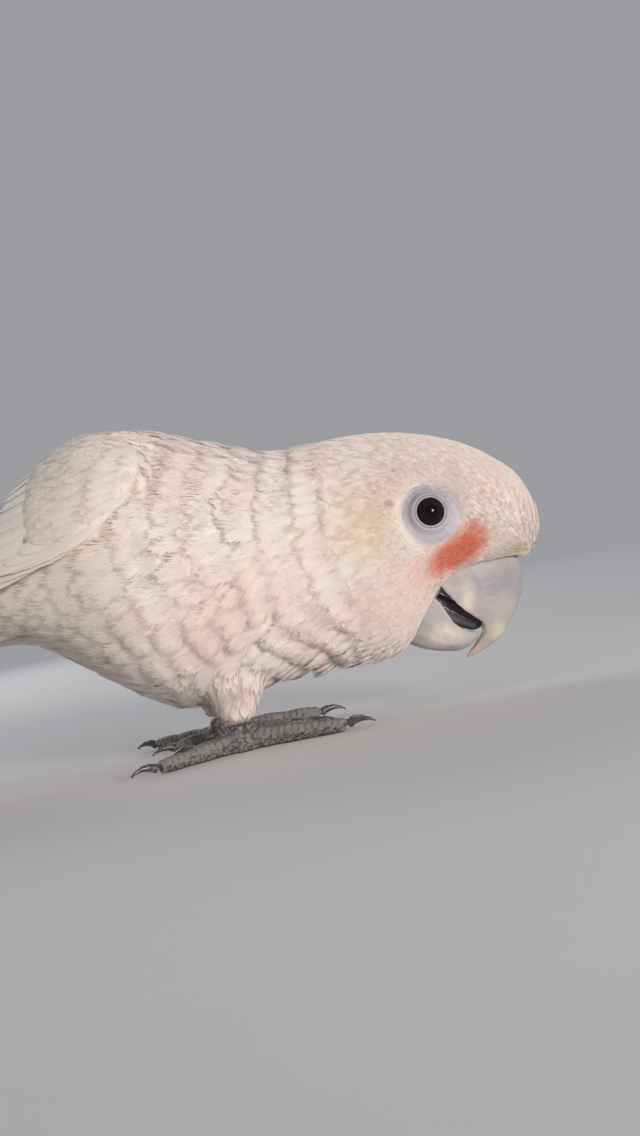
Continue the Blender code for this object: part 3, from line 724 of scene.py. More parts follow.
def unwrap(points):
    """A place on the bird as (length along it, turn round it), the legs in strips of their own."""
    x, y, z = points.T
    middle = np.interp(x, *zip(*BODY_AXIS))
    turn = np.arctan2(y, z - middle) / (2 * math.pi) + 0.5
    body = np.stack([0.03 + (x + 145) / 245 * 0.84, 0.02 + 0.96 * turn], 1)
    leg = on_leg(points)[:, None] > 0.5
    round_leg = np.arctan2(*from_leg(points)[::-1]) / (2 * math.pi) + 0.5
    strip = np.stack([0.90 + 0.05 * (y > 0) + z / 30 * 0.035, 0.02 + 0.96 * round_leg], 1)
    return np.where(leg, strip, body)


feather_coat = make_plumage("feather_coat", True)
skin_finish = make_plumage("skin_under_feathers", False)

TEMPLATES = {
    "down": [both(vane(3, (0, 1.0), 0.10, 0.2, 0.04, k, blunt=1.8, full=0.3, length=0.45,
                       breadth=0.6),
                  tuft(10, k, 0.030, arch=0.05)) for k in range(4)],
    "small": [both(vane(3, (0, 1.0), 0.12, 0.2, 0.04, k, length=0.48, breadth=0.65),
                   tuft(17, k, 0.022, arch=0.05)) for k in range(5)],
    "plume": [plume(vane(6, (0, 1.0), 0.15, 0.15, 0.04, k, length=0.60, breadth=0.72),
                    62, 26, 0.05, k, barb=0.020, ragged=0.30) for k in range(6)],
    "covert": [plume(vane(14, (0, 0.5, 1.0), 0.08, 0.07, 0.03, k, shaft=0.03, blunt=2.4, full=0.40,
                          length=0.95, breadth=0.94), 70, 20, 0.03, k, barb=0.012, ragged=0.06)
               for k in range(4)],
    "flight": [vane(90, (0, 0.06, 0.3, 0.65, 1.0), 0.03, 0.018, 0.02, k, shaft=0.06, full=0.86)
               for k in range(4)],
}
WIDEST = 36.0                # a feather that would stand out past this is left away
SPACING = 0.27               # between roots, in feather lengths
CANDIDATES = 9.8             # tried on each square of that size
ANKLE = 7.0                  # feathers end this high over the floor


def is_bare(spots, ups):
    """True where nothing grows: the eye rings, the mouth, the feet and the caps behind."""
    x, y, z = fold(spots).T
    wander = np.array([noise.noise(Vector(p) / 2.4) for p in spots])
    ring = from_eye(spots) < RING_RADIUS + 0.3 + 0.8 * wander - 0.5 * (x < EYE[0])
    palate = (x > 55.5) & (z < 35.2) & (y < 9.4) & (ups[:, 2] < 0.4)
    jaw = (x > 46) & (y < 6.5) & (z > 16.5) & (z < 33) & (ups[:, 0] > 0.25)
    rear = (x < -125) & (ups[:, 0] < -0.6)
    rear |= (x < -36) & (on_shoulder(spots) > 0.2) & (ups[:, 0] < -0.35)
    return ring | palate | jaw | rear | (z < ANKLE)


def scatter():
    """Roots spread over the skin, close together where the feathers are small."""
    corners = skin_points[skin_faces]
    edges = corners[:, 1:] - corners[:, :1]
    areas = np.linalg.norm(np.cross(edges[:, 0], edges[:, 1]), axis=1) / 2
    gap = SPACING * feather_length(corners.mean(1))
    wanted = CANDIDATES * areas / gap ** 2
    tries = draw.choice(len(areas), int(wanted.sum()), p=wanted / wanted.sum())
    a, b = draw.random((2, len(tries), 1))
    swap = (a + b) > 1
    a, b = np.where(swap, 1 - a, a), np.where(swap, 1 - b, b)
    spots = corners[tries, 0] + edges[tries, 0] * a
    spots += edges[tries, 1] * b
    ups = unit(np.cross(edges[tries, 0], edges[tries, 1]))
    bare = is_bare(spots, ups)
    spots, ups = spots[~bare], ups[~bare]
    tree = kdtree.KDTree(len(spots))
    for i, spot in enumerate(spots):
        tree.insert(spot, i)
    tree.balance()
    gaps = SPACING * feather_length(spots)
    alive = np.ones(len(spots), bool)
    kept = []
    for i in range(len(spots)):
        if alive[i]:
            kept.append(i)
            for _, j, _ in tree.find_range(spots[i], gaps[i]):
                alive[j] = False
    return spots[kept], ups[kept]


# Feathers shorter than the first length are down, and shorter than the second small ones.
SMALL_FROM, PLUME_FROM = 3.2, 7.0


def tracts_at(roots):
    """The tracts of the coat: a feather belongs to the first that holds its root."""
    x, z = roots[:, 0], roots[:, 2]
    facial = ((from_eye(roots) < 15) | (from_bill(roots) < 8)) & (x > 40)
    return {
        "leg_feathers": on_leg(roots) > 0.5,
        "wing_marginal_coverts": on_shoulder(roots) > 0.5,
        "brow_feathers": facial & (z > EYE[2]),
        "face_feathers": facial,
        "crown_feathers": (x > 34) & (z > 56),
        "cheek_feathers": x > 34,
        "neck_feathers": x > 13,
        "breast_feathers": (x > -30) & (z < 52),
        "back_feathers": x > -60,
        "rump_feathers": x <= -60,
    }


def build_coat():
    """All feathers that grow on the skin, one piece for each tract."""
    roots, _ = scatter()
    _, ups = settle(roots)
    lengths = feather_length(roots) * draw.uniform(0.88, 1.15, len(roots))
    halves = lengths * BREADTH * draw.uniform(0.9, 1.1, len(roots))
    halves = halves * (1 - 0.4 * ease(roots[:, 0], -60, -100))
    legs, shoulder = on_leg(roots), on_shoulder(roots)
    share, strength = fold_phase(roots)
    strength = np.minimum(1.0, 1.6 * strength)
    slack = (0.93 - (share + lengths / FOLD) + 0.5) % 1.0 - 0.5      # tips end along the folds
    lengths = np.maximum(lengths + slack * FOLD * strength, 0.45 * lengths)
    # feathers whose tips would reach onto the folded wing stay shorter and flatter
    onto_wing = on_shoulder(roots + lie(roots, ups) * lengths[:, None]) * (1 - shoulder)
    lengths *= 1 - 0.6 * onto_wing
    nets, ways, firm = nets_on_skin(roots, ups, lengths, halves)
    depth = coat_depth(roots)
    # the coat is loose under the chin, on the brow and at the hem of the legs
    ragged = ease(from_eye(roots), 6, 20) * ease(roots[:, 2], 26, 14) * ease(roots[:, 0], 20, 34)
    hem = legs * ease(roots[:, 2], 15, 9)
    loose = 4.0 * ragged + 1.3 * on_brow(roots) + 0.8 * hem
    loose = draw.random(len(roots)) * loose + 0.2 * strength
    tip = depth * (draw.uniform(0.86, 1.0, len(roots)) + loose) * (1 - 0.6 * onto_wing)
    lifts = np.stack([depth * 0.12, tip, draw.normal(0, 0.012, len(roots)) * lengths * 0.3], 1)
    flow = unwrap(roots)
    tints = draw.random(len(roots))
    left = firm & (np.abs(nets[:, :, 1]).max(1) < WIDEST)
    kinds = np.where((lengths < PLUME_FROM) | (legs > 0.5), "small", "plume")
    kinds[lengths < SMALL_FROM] = "down"
    for name, chosen in tracts_at(roots).items():
        chosen = chosen & left
        left &= ~chosen
        batches = []
        for kind, family in TEMPLATES.items():
            picked = np.flatnonzero(chosen & (kinds == kind))
            for variant, template in enumerate(family):
                use = picked[variant::len(family)]
                if len(use):
                    batches.append(lay(template, nets[use], ways[use], lifts[use], halves[use],
                                       flow[use], tints[use]))
        join(name, batches, feather_coat)


from_bmesh("skin", skin, skin_finish, FLESH)
build_coat()


# ---------------------------------------------------------------- flight feathers

# The folded wing from the wrist to the tip: x, (y, z) of its upper edge, (y, z) of its lower edge.
WING = (
    (-5.6, 22.8, 80.4, 26.2, 75.6), (-10.6, 17.0, 85.4, 30.8, 69.6),
    (-20.0, 12.2, 89.2, 35.2, 63.0), (-34.0, 8.6, 84.4, 35.6, 58.6),
    (-50.0, 5.0, 75.8, 33.6, 55.2), (-72.0, 1.6, 66.8, 30.0, 49.4),
    (-97.0, 0.7, 57.6, 25.6, 42.0), (-126.0, 0.7, 47.4, 20.6, 33.4),
    (-155.0, 1.4, 37.4, 16.2, 25.4), (-180.0, 3.6, 28.4, 13.4, 18.8),
    (-196.0, 6.2, 22.0, 11.6, 15.6), (-204.0, 8.2, 17.6, 10.0, 15.4),
)
WING_BULGE = 0.5             # from a flat wing (0) to a square-shouldered one (1)
WING_BOW = 30.0              # the radius to which its feathers bend across
MIDDLE_GAP = 0.8             # how near feathers come to the bird's middle plane


def wing_at(s, t, depth, side):
    """Places under the folded wing's outer face, with the way out of it."""
    row = through(WING, s)
    upper, lower = row[:, 1:3], row[:, 3:5]
    square = np.stack([lower[:, 0], upper[:, 1]], 1)
    corner = (upper + lower) / 2 * (1 - WING_BULGE) + square * WING_BULGE
    t = t[:, None]
    place = upper * (1 - t) ** 2 + corner * 2 * t * (1 - t) + lower * t ** 2
    down = unit((corner - upper) * (1 - t) + (lower - corner) * t)
    outward = np.stack([-down[:, 1], down[:, 0]], 1)
    place = place - outward * depth[:, None]
    spot = np.stack([row[:, 0], side * place[:, 0], place[:, 1]], 1)
    way = np.stack([np.zeros(len(s)), side * outward[:, 0], outward[:, 1]], 1)
    return spot, way


def long_net(middles, ways, halves, bow):
    """A net for a long feather: its middle line, and both edges bent down from it."""
    course = unit(np.gradient(middles, axis=0))
    ways = unit(ways - course * (ways * course).sum(1)[:, None])
    aside = np.cross(ways, course)
    drop = ways * (halves ** 2 / (2 * bow))[:, None]
    net = np.stack([middles - aside * halves[:, None] - drop, middles,
                    middles + aside * halves[:, None] - drop], 1)
    tilt = aside * (halves / bow)[:, None]
    spread = np.stack([unit(ways - tilt), ways, unit(ways + tilt)], 1)
    return net.reshape(-1, 3), spread.reshape(-1, 3)


def lay_one(kind, number, net, ways, tilt, half, root):
    """One long feather, tilted about its shaft so that its row overlaps like tiles."""
    template = TEMPLATES[kind][number % len(TEMPLATES[kind])]
    return lay(template, net[None], ways[None], np.array([[0.0, 0.0, tilt]]), np.array([half]),
               unwrap(root), draw.random(1))


# Each row of a wing's long feathers: the kind, how many, the stretch of the lowest and of the
# topmost in stations, the places of both across the wing at root and tip, half breadth, and
# depth at root and tip.
WING_ROWS = {
    "primaries":
        ("flight", 8, (4.4, 10.9), (4.9, 8.9), (0.97, 0.45), (0.92, 0.10), 5.6, (4.6, 3.0)),
    "secondaries":
        ("flight", 10, (3.2, 8.5), (2.8, 6.0), (0.95, 0.04), (0.80, 0.02), 7.0, (3.3, 1.6)),
    "greater_coverts":
        ("covert", 10, (2.4, 5.5), (2.2, 4.9), (0.95, 0.05), (0.88, 0.05), 5.8, (2.5, 1.9)),
    "median_coverts":
        ("covert", 9, (1.8, 4.4), (1.7, 4.0), (0.96, 0.05), (0.92, 0.06), 5.0, (1.9, 1.4)),
    "lesser_coverts":
        ("covert", 9, (1.5, 4.0), (1.4, 3.65), (0.95, 0.05), (0.93, 0.06), 4.7, (1.5, 0.1)),
    "alula":
        ("covert", 4, (2.0, 3.95), (1.9, 3.1), (0.96, 0.91), (0.965, 0.88), 2.8, (0.9, 0.0)),
}


def build_wing(word, side):
    """One folded wing's long feathers, row over row, the primaries first."""
    batches = []
    for row, (kind, count, low, high, root_t, tip_t, half, depth) in WING_ROWS.items():
        for j in range(count):
            share = j / (count - 1)
            start, end = (between(ends, share) for ends in zip(low, high))
            if row == "primaries":        # the outermost ones are shorter
                end -= 0.9 * max(0.0, 0.28 - share)
            end += draw.normal(0, 0.03)
            s = np.linspace(start, end, ALONG)
            t = np.linspace(between(root_t, share), between(tip_t, share), ALONG)
            spots, ways = wing_at(s, t, np.linspace(*depth, ALONG), side)
            spots[:, 1] = side * np.maximum(side * spots[:, 1], MIDDLE_GAP + 0.4 * half * share)
            halves = half * np.linspace(0.9, 1.0, ALONG)
            net, way = long_net(spots, ways, halves, WING_BOW)
            net[:, 1] = side * np.maximum(side * net[:, 1], MIDDLE_GAP)
            tilt = -side * (0.6 if kind == "flight" else 0.42) + draw.normal(0, 0.04)
            batches.append(lay_one(kind, j, net, way, tilt, half, spots[:1]))
    nodes = [f"wing_{word}_{layer}" for layer in ("coverts", "alula", "secondaries", "primaries")]
    join(f"wing_feathers_{word}", batches, feather_coat, nodes)


# The mantle: feathers down the middle of the back, over the seam between the wings. Like a
# wing's row, it gives the kind, how many, the first and last root and tip, and half breadth.
MANTLE = ("covert", 10, (3.1, 6.3), (4.3, 7.2), 6.6)
MANTLE_BOW = 14.0


def build_mantle():
    """The feathers over the seam, each a little to one side in turn."""
    kind, count, roots, tips, half = MANTLE
    batches = []
    for j in range(count):
        share = j / (count - 1)
        s = np.linspace(between(roots, share), between(tips, share), ALONG)
        over = np.linspace(1.8 + 1.2 * share, 1.2 + 2.0 * share, ALONG)
        spots, ways = wing_at(s, np.zeros(ALONG), over, 1)
        spots[:, 1] = (-1) ** j * 1.1 + draw.normal(0, 0.2)
        ways[:, 1] = 0
        halves = np.full(ALONG, half * (1 - 0.25 * share))
        net, way = long_net(spots, unit(ways), halves, MANTLE_BOW)
        batches.insert(0, lay_one(kind, j, net, way, 0.0, half, spots[:1]))
    join("mantle_feathers", batches, feather_coat)


# The tail: six feathers a side, stepped down and fanned out from the middle pair.
TAIL_ROOT = np.array((-100.0, 0.0, 38.6))
TAIL_LENGTH, TAIL_DROOP, TAIL_HALF = 113.0, math.radians(16.4), 6.8
TAIL_BOW = 40.0
TAIL_GAP = 0.35              # how near its feathers come to the bird's middle plane


def build_tail():
    """Twelve tail feathers in one fan."""
    batches = []
    back = np.array((-math.cos(TAIL_DROOP), 0, -math.sin(TAIL_DROOP)))
    up = np.array((-math.sin(TAIL_DROOP), 0, math.cos(TAIL_DROOP)))
    for side in SIDES.values():
        aside = np.array((0, side, 0))
        for number in range(6):
            fan, roll = (math.radians(a) for a in (0.75 * (number + 0.4), 0.6 * (number + 0.5)))
            along = back * math.cos(fan) + aside * math.sin(fan)
            level = aside * math.cos(fan) - back * math.sin(fan)
            way = up * math.cos(roll) + level * math.sin(roll)
            root = TAIL_ROOT + aside * (1.2 + 0.75 * number) - up * 0.95 * number
            reach = np.linspace(0, TAIL_LENGTH - number ** 1.3, ALONG)
            middles = root + along * reach[:, None]
            halves = np.linspace(0.6, 1.0, ALONG) * TAIL_HALF
            net, ways = long_net(middles, np.tile(way, (ALONG, 1)), halves, TAIL_BOW)
            net[:, 1] = side * np.maximum(side * net[:, 1], TAIL_GAP)
            batches.append(lay_one("flight", number, net, ways, draw.normal(0, 0.05), TAIL_HALF,
                                   root[None]))
    join("tail_feathers", batches, feather_coat,
         [f"tail_{word}_{n + 1}" for word in SIDES for n in range(6)])


for word, side in SIDES.items():
    build_wing(word, side)
build_tail()
build_mantle()


# ---------------------------------------------------------------- eyes and their bare rings

EYE_FORWARD, EYE_UP = math.radians(9), math.radians(3)     # how the eyes' axes are turned
EYE_OPENING = 3.75           # the radius at which the ball leaves the lids
CORNEA, CORNEA_RISE = 3.3, 0.3
# Each ring of the eye's bare skin: its reach, its height over the lid's plane, and how far it
# has come down onto the head.
RING_PROFILE = (
    (3.52, -1.4, 0), (3.42, -0.45, 0), (3.44, -0.02, 0), (3.60, 0.20, 0), (3.82, 0.26, 0),
    (4.02, 0.14, 0), (4.16, 0.02, 0), (4.34, 0.10, 0), (4.58, 0.20, 0), (4.86, 0.20, 0.04),
    (5.2, 0.16, 0.16), (5.6, 0.12, 0.34), (6.0, 0.10, 0.52), (6.4, 0.10, 0.68), (6.8, 0.10, 0.82),
    (7.2, 0.06, 0.94), (7.6, -0.04, 1), (8.0, -0.20, 1), (8.4, -0.42, 1), (8.8, -0.66, 1),
    (9.0, -0.90, 1), (9.0, -1.4, 1), (6.4, -1.2, 0.6), (4.2, -1.6, 0),
)


def eye_frame(side):
    """The turn that takes Z to the eye's axis and X towards the face."""
    axis = Vector((math.sin(EYE_FORWARD), side * math.cos(EYE_FORWARD), math.sin(EYE_UP)))
    axis.normalize()
    ahead = (Vector((1, 0, 0)) - axis * axis.x).normalized()
    return Matrix((ahead, axis.cross(ahead), axis)).transposed().to_4x4()


IRIS_BLACK, IRIS_BROWN, PUPIL = (0.006, 0.004, 0.003), (0.014, 0.008, 0.005), (0.002,) * 3
RING_SHADED_TOP, RING_BELOW, RING_PALE = (0.36, 0.335, 0.38), (0.50, 0.46, 0.495), (0.58, 0.52, 0.53)
RING_INNER, LID_CREASE_SHADE, LID_EDGE = (0.33, 0.29, 0.33), (0.20, 0.17, 0.20), (0.05, 0.045, 0.05)


def make_eye_finish():
    """Dark and wet, with a pupil at the middle of the iris."""
    finish = Finish("eye_dark", Roughness=0.03, IOR=1.36, Specular_IOR_Level=0.36)
    vein = finish.noise(0.35, 4.0)
    ring = finish.node("ShaderNodeAttribute", {"attribute_name": "iris"}, {}, "Fac")
    brown = finish.mix(IRIS_BLACK, IRIS_BROWN, vein)
    colour = finish.mix(PUPIL, brown, ring.ease(0.30, 0.36))
    return finish.set(Base_Color=colour)


def make_ring_finish():
    """Bare skin, darkest at the lid's edge and white behind, where the feathers start, with painted
    shade over its top and in the lid's crease.
    """
    finish = Finish("bare_eye_skin", Roughness=0.6, Subsurface_Weight=0.12, Subsurface_Scale=0.001,
                    Specular_IOR_Level=0.35)
    reach = finish.node("ShaderNodeAttribute", {"attribute_name": "reach"}, {}, "Fac")
    cell = finish.node("ShaderNodeTexVoronoi", {}, {"Vector": finish.place, "Scale": 2.6}, 0)
    cloudy = finish.noise(1.6, 3.0)
    # painted shade under the brow: the ring is darker at the top and paler below
    below = (finish.z - EYE[2]).ease(4.5, -4.5)
    colour = finish.mix(RING_SHADED_TOP, RING_BELOW, below)
    colour = finish.mix(colour, RING_PALE, 0.5 * cloudy.ease(0.4, 0.7))
    behind = (EYE[0] - finish.x).ease(1.5, 6.5)
    colour = finish.mix(colour, WARM_WHITE, 0.5 * behind * reach.ease(5.0, 7.4))
    # painted shade in the crease that runs round the lid
    edge = reach.ease(4.42, 4.22) * reach.ease(3.9, 4.08)
    colour = finish.mix(colour, RING_INNER, 0.45 * reach.ease(5.2, 4.3))
    colour = finish.mix(colour, LID_CREASE_SHADE, 0.75 * edge)
    colour = finish.mix(colour, LID_EDGE, 0.9 * reach.ease(3.68, 3.5))
    return finish.set(Base_Color=colour, Normal=finish.bump(cell + cloudy, 0.08, 0.4))


def build_eyes():
    """Both eyeballs, each with a low dome in front, and the bare rings round them."""
    eye_finish, ring_finish = make_eye_finish(), make_ring_finish()
    for word, side in SIDES.items():
        low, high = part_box(f"eye_{word}")
        radius = max(high - low) / 2 / MM
        centre = Vector(middle_of(f"eye_{word}"))
        turn = eye_frame(side)
        ball = bmesh.new()
        bmesh.ops.create_uvsphere(ball, u_segments=64, v_segments=40, radius=radius)
        for vert in ball.verts:
            off = math.hypot(vert.co.x, vert.co.y)
            if vert.co.z > 0 and off < CORNEA:
                vert.co.z += CORNEA_RISE * (1 - (off / CORNEA) ** 2) ** 2
        iris_reach = [math.hypot(v.co.x, v.co.y) / 5.0 for v in ball.verts]
        transform(ball, Matrix.Translation(centre) @ turn)
        piece = from_bmesh(f"eyeball_{word}", ball, eye_finish, [f"eye_{word}"])
        iris = piece.data.attributes.new("iris", "FLOAT", "POINT")
        iris.data.foreach_set("value", iris_reach)
        build_ring(word, side, centre, radius, turn, ring_finish)


def build_ring(word, side, centre, radius, turn, finish):
    """The bare ring: its profile spun round the eye's axis and laid onto the head."""
    ring = bmesh.new()
    corners = [ring.verts.new((r, 0, h)) for r, h, _ in RING_PROFILE]
    settled = {round(r, 3): share for r, h, share in RING_PROFILE}
    edges = [ring.edges.new((a, b)) for a, b in zip(corners, corners[1:] + corners[:1])]
    bmesh.ops.spin(ring, geom=corners + edges, axis=(0, 0, 1), cent=(0, 0, 0), dvec=(0, 0, 0),
                   angle=2 * math.pi, steps=120, use_merge=True)
    bmesh.ops.remove_doubles(ring, verts=ring.verts, dist=0.001)
    bmesh.ops.recalc_face_normals(ring, faces=ring.faces)
    lid_plane = math.sqrt(max(radius ** 2 - EYE_OPENING ** 2, 0.2))
    outward = turn.to_3x3() @ Vector((0, 0, 1))
    reaches = []
    for vert in ring.verts:
        r, angle = math.hypot(vert.co.x, vert.co.y), math.atan2(vert.co.y, vert.co.x)
        height, share = vert.co.z, settled[min(settled, key=lambda known: abs(known - r))]
        reaches.append(r)
        drop = share * RING_DROP
        flat = turn @ Vector((vert.co.x, vert.co.y, 0)) + centre - Vector((0, 0, drop))
        hit, _, _, _ = skin_tree.ray_cast(flat + outward * 20, -outward)
        on_head = (hit - flat).dot(outward) + 0.30 if hit else lid_plane
        around = (math.cos(angle), math.sin(angle))
        crease = math.sin(r * 7.0 + 5.0 * noise.noise((around[0] * 1.5, around[1] * 1.5, r * 0.4)))
        cross = noise.noise((around[0] * 9, around[1] * 9, r * 1.2 + side))
        uneven = noise.noise((around[0] * 1.2, around[1] * 1.2, 3.0 + side))
        wrinkle = ease(r, 4.3, 5.4) * (0.05 * crease + 0.14 * cross + 0.2 * uneven)
        wrinkle *= height > -0.4
        vert.co = flat + outward * (height + wrinkle + lid_plane * (1 - share) + on_head * share)
    piece = from_bmesh(f"eye_skin_{word}", ring, finish, [f"eye_ring_{word}"])
    attribute = piece.data.attributes.new("reach", "FLOAT", "POINT")
    attribute.data.foreach_set("value", reaches)


build_eyes()


# ---------------------------------------------------------------- bill, tongue, feet

HORN, HORN_PALE, GROWTH_LINE = (0.40, 0.365, 0.345), (0.49, 0.445, 0.415), (0.38, 0.34, 0.32)
TONGUE, TONGUE_PALE, THROAT = (0.030, 0.027, 0.030), (0.085, 0.072, 0.078), (0.20, 0.155, 0.18)
FOOT_GREY_AND_SHADE, FOOT_PALE_AND_SHADE, SCALE_GAP = (0.13, 0.12, 0.115), (0.25, 0.23, 0.22), (0.05, 0.045, 0.043)
CLAW, CLAW_PALE = (0.035, 0.032, 0.033), (0.15, 0.135, 0.13)
# Like the washes of the plumage: five plates of the upper bill, its tip, two plates of the lower,
# and painted shade along the lower bill's underside.
BILL_WASHES = (
    ((77.0, 4, 30), (11.0, 12, 8.0), 0.2, 0.8, (0.25, 0.235, 0.275), 0.9),
    ((84.6, 0, 25), (5.6, 12, 13), 0.2, 0.8, (0.30, 0.30, 0.305), 0.8),
    ((68.6, 5, 26.0), (3.2, 8, 6.6), 0.35, 0.8, (0.72, 0.64, 0.54), 0.95),
    ((66.5, 5, 31.6), (3.6, 8, 3.4), 0.0, 0.7, (0.42, 0.30, 0.33), 0.7),
    ((75.5, 4, 15.5), (6.5, 8, 4.0), 0.7, 0.8, (0.66, 0.59, 0.44), 0.75),
    ((69, 0, 12.4), (5, 6, 3.2), 0.5, 0.8, (0.58, 0.42, 0.36), 0.75),
    ((60.5, 4, 18.0), (7.5, 9, 4.4), 0.3, 0.8, (0.74, 0.67, 0.57), 0.8),
    ((56.6, 4, 21.4), (3.2, 9, 5.0), 0.3, 0.8, (0.40, 0.38, 0.42), 0.75),
    # painted shadow along the underside of the lower bill
    ((60, 0, 13.2), (12, 9, 2.6), 0.0, 0.8, (0.34, 0.29, 0.26), 0.65),
)
RIDGE_PASSES = 160           # smooths the facets of the bill's ridge


def make_bill_finish():
    """Grey horn with paler plates and fine growth lines."""
    finish = Finish("horn_of_the_bill", Roughness=0.32, Subsurface_Weight=0.15,
                    Subsurface_Scale=0.0015, Coat_Weight=0.05, Coat_Roughness=0.3)
    cloudy = finish.noise(4.0, 3.0)
    colour = finish.mix(HORN, HORN_PALE, cloudy)
    colour = finish.washed(colour, BILL_WASHES, 2.5)
    grain = finish.noise(1.4, 5.0, finish.stretched((6.0, 3.0, 1.0), (0, 0.9, 0)))
    fine = finish.noise(0.25, 3.0)
    colour = finish.mix(colour, GROWTH_LINE, 0.35 * grain.ease(0.52, 0.75))
    return finish.set(Base_Color=colour, Roughness=0.42 + 0.2 * fine,
                      Normal=finish.bump(grain + fine * 0.3, 0.10, 0.35))


def make_tongue_finish():
    """Wet and nearly black, and mauve towards the throat."""
    finish = Finish("tongue_skin", Roughness=0.35, Coat_Weight=0.4, Coat_Roughness=0.2)
    bumps = finish.noise(0.5, 3.0)
    colour = finish.mix(TONGUE, TONGUE_PALE, bumps)
    colour = finish.mix(THROAT, colour, finish.x.ease(60, 68) * 0.9)
    return finish.set(Base_Color=colour, Normal=finish.bump(bumps, 0.15, 0.6))


def make_foot_finish():
    """Dark grey, darkened further as painted shade, and darker in the gaps between the scales."""
    finish = Finish("scaly_foot", Roughness=0.6)
    cloudy = finish.noise(2.5, 3.0)
    height = finish.node("ShaderNodeAttribute", {"attribute_name": "scale"}, {}, "Fac")
    # the foot's own dark grey, made darker still as painted shade for the shadow under the bird
    colour = finish.mix(FOOT_GREY_AND_SHADE, FOOT_PALE_AND_SHADE, cloudy)
    colour = finish.mix(SCALE_GAP, colour, height.ease(0.1, 0.5))
    return finish.set(Base_Color=colour, Roughness=0.5 + 0.25 * cloudy,
                      Normal=finish.bump(finish.noise(0.3, 3.0), 0.08, 0.5))


def make_claw_finish():
    """Nearly black horn with grey streaks."""
    finish = Finish("claw_horn", Roughness=0.35, Coat_Weight=0.2)
    streak = finish.noise(0.8, 4.0)
    colour = finish.mix(CLAW, CLAW_PALE, streak.ease(0.35, 0.8))
    return finish.set(Base_Color=colour, Roughness=0.3 + 0.2 * streak,
                      Normal=finish.bump(streak, 0.08, 0.4))


# The growth lines of each half of the bill run round these places.
GROWTH = {"bill_upper": (70, 0, 42), "bill_lower": (50, 0, 26)}
# The dark lining of the mouth: its middle, how it is turned, and its half axes.
MOUTH, MOUTH_TURN, MOUTH_REACH = (61.0, 0, 26.6), 0.75, (6.4, 3.4, 2.6)


def build_bill():
    """Both halves of the bill, the tongue, and the lining of the mouth behind it."""
    finish = make_bill_finish()
    for node, centre in GROWTH.items():
        shape = remeshed(cad_copy([node], 0.05), 0.28, 7)
        points, _ = arrays_of(shape)
        far = np.linalg.norm(points - np.array(centre), axis=1)
        lines = np.array([noise.noise(Vector(p) * 0.35) for p in points])
        ridge = [v for v in shape.verts if v.co.x > 73 and v.co.z > 15 and v.normal.x > 0.05]
        smooth(shape, ridge, RIDGE_PASSES if node == "bill_upper" else 0)
        shape.normal_update()
        push(shape, 0.02 * np.sin(far * 3.2 + lines * 5) + 0.04 * lines)
        from_bmesh(node.replace("bill", "beak"), shape, finish, [node])
    tongue = remeshed(cad_copy(["tongue"], 0.05), 0.35, 5)
    points, normals = arrays_of(tongue)
    fuller = 0.9 * ease(np.abs(normals[:, 1]), 0.9, 0.4)
    push(tongue, fuller + np.array([0.12 * noise.noise(Vector(p) * 1.1) for p in points]))
    finish = make_tongue_finish()
    from_bmesh("tongue_flesh", tongue, finish, ["tongue"])
    lining = bmesh.new()
    bmesh.ops.create_icosphere(lining, subdivisions=4, radius=1.0)
    transform(lining, Matrix.Translation(MOUTH) @ Matrix.Rotation(MOUTH_TURN, 4, "Y")
              @ Matrix.Diagonal((*MOUTH_REACH, 1)))
    from_bmesh("mouth_lining", lining, finish)


TOE_TURNS = (10.0, -26.0, 150.0, -156.0)     # which way each toe points, in degrees
SCUTE = 1.75                 # the length of each scale on top of a toe


def scales_at(points, normals, middle, side):
    """How high a foot's scales stand: scutes on top of its toes, and pebbles elsewhere."""
    flat = points[:, :2] - middle
    away = np.hypot(*flat.T)
    turn = np.degrees(np.arctan2(flat[:, 1] * side, flat[:, 0]))
    gap = np.abs((turn[:, None] - np.array(TOE_TURNS)[None] + 180) % 360 - 180).min(1)
    top = ease(normals[:, 2], 0.25, 0.6) * ease(away, 4.5, 7) * (gap < 40)
    scute = 1 - (away / SCUTE) % 1.0
    pebbles = []
    for p in points:
        near, _ = noise.voronoi(Vector(p) * 0.85)
        pebbles.append(min(1.0, (near[1] - near[0]) * 2.2))
    return top * scute ** 0.6 + (1 - top) * np.array(pebbles)


def build_feet():
    """Both feet with their scales, and the claws that grow out of the toes."""
    foot_finish, claw_finish = make_foot_finish(), make_claw_finish()
    for word, side in SIDES.items():
        middle = np.array((FOOT_AHEAD - LEFT_BEHIND * (side > 0), side * LEG_ASIDE))
        nodes = [n for n in frame["nodes"] if n.startswith(f"claw_{word}")]
        plain = cad_copy([f"foot_{word}"], 0.05)
        plain_tree = BVHTree.FromBMesh(plain)
        plain.free()
        foot = remeshed(cad_copy([f"foot_{word}", *nodes], [0.05] + [0.4] * len(nodes)), 0.36, 5)
        points, normals = arrays_of(foot)
        # the skin of the toes ends inside the roots of the claws
        past = np.array([(p - near[0]).dot(near[1]) for p in map(Vector, points)
                         for near in [plain_tree.find_nearest(p)]])
        in_claw = ease(past, 0.6, 1.4)
        off_floor = ease(points[:, 2], 0.1, 0.6)
        height = scales_at(points, normals, middle, side) * off_floor
        lifted = 0.24 * height - 0.1 * off_floor
        push(foot, lifted * (1 - in_claw) - 0.6 * in_claw)
        piece = from_bmesh(f"toes_{word}", foot, foot_finish, [f"foot_{word}"])
        scale = piece.data.attributes.new("scale", "FLOAT", "POINT")
        scale.data.foreach_set("value", height.astype(np.float32))
        claws = remeshed(cad_copy(nodes, 0.08), 0.2, 6)
        from_bmesh(f"talons_{word}", claws, claw_finish, nodes)


build_bill()
build_feet()


# ---------------------------------------------------------------- floor, light and camera

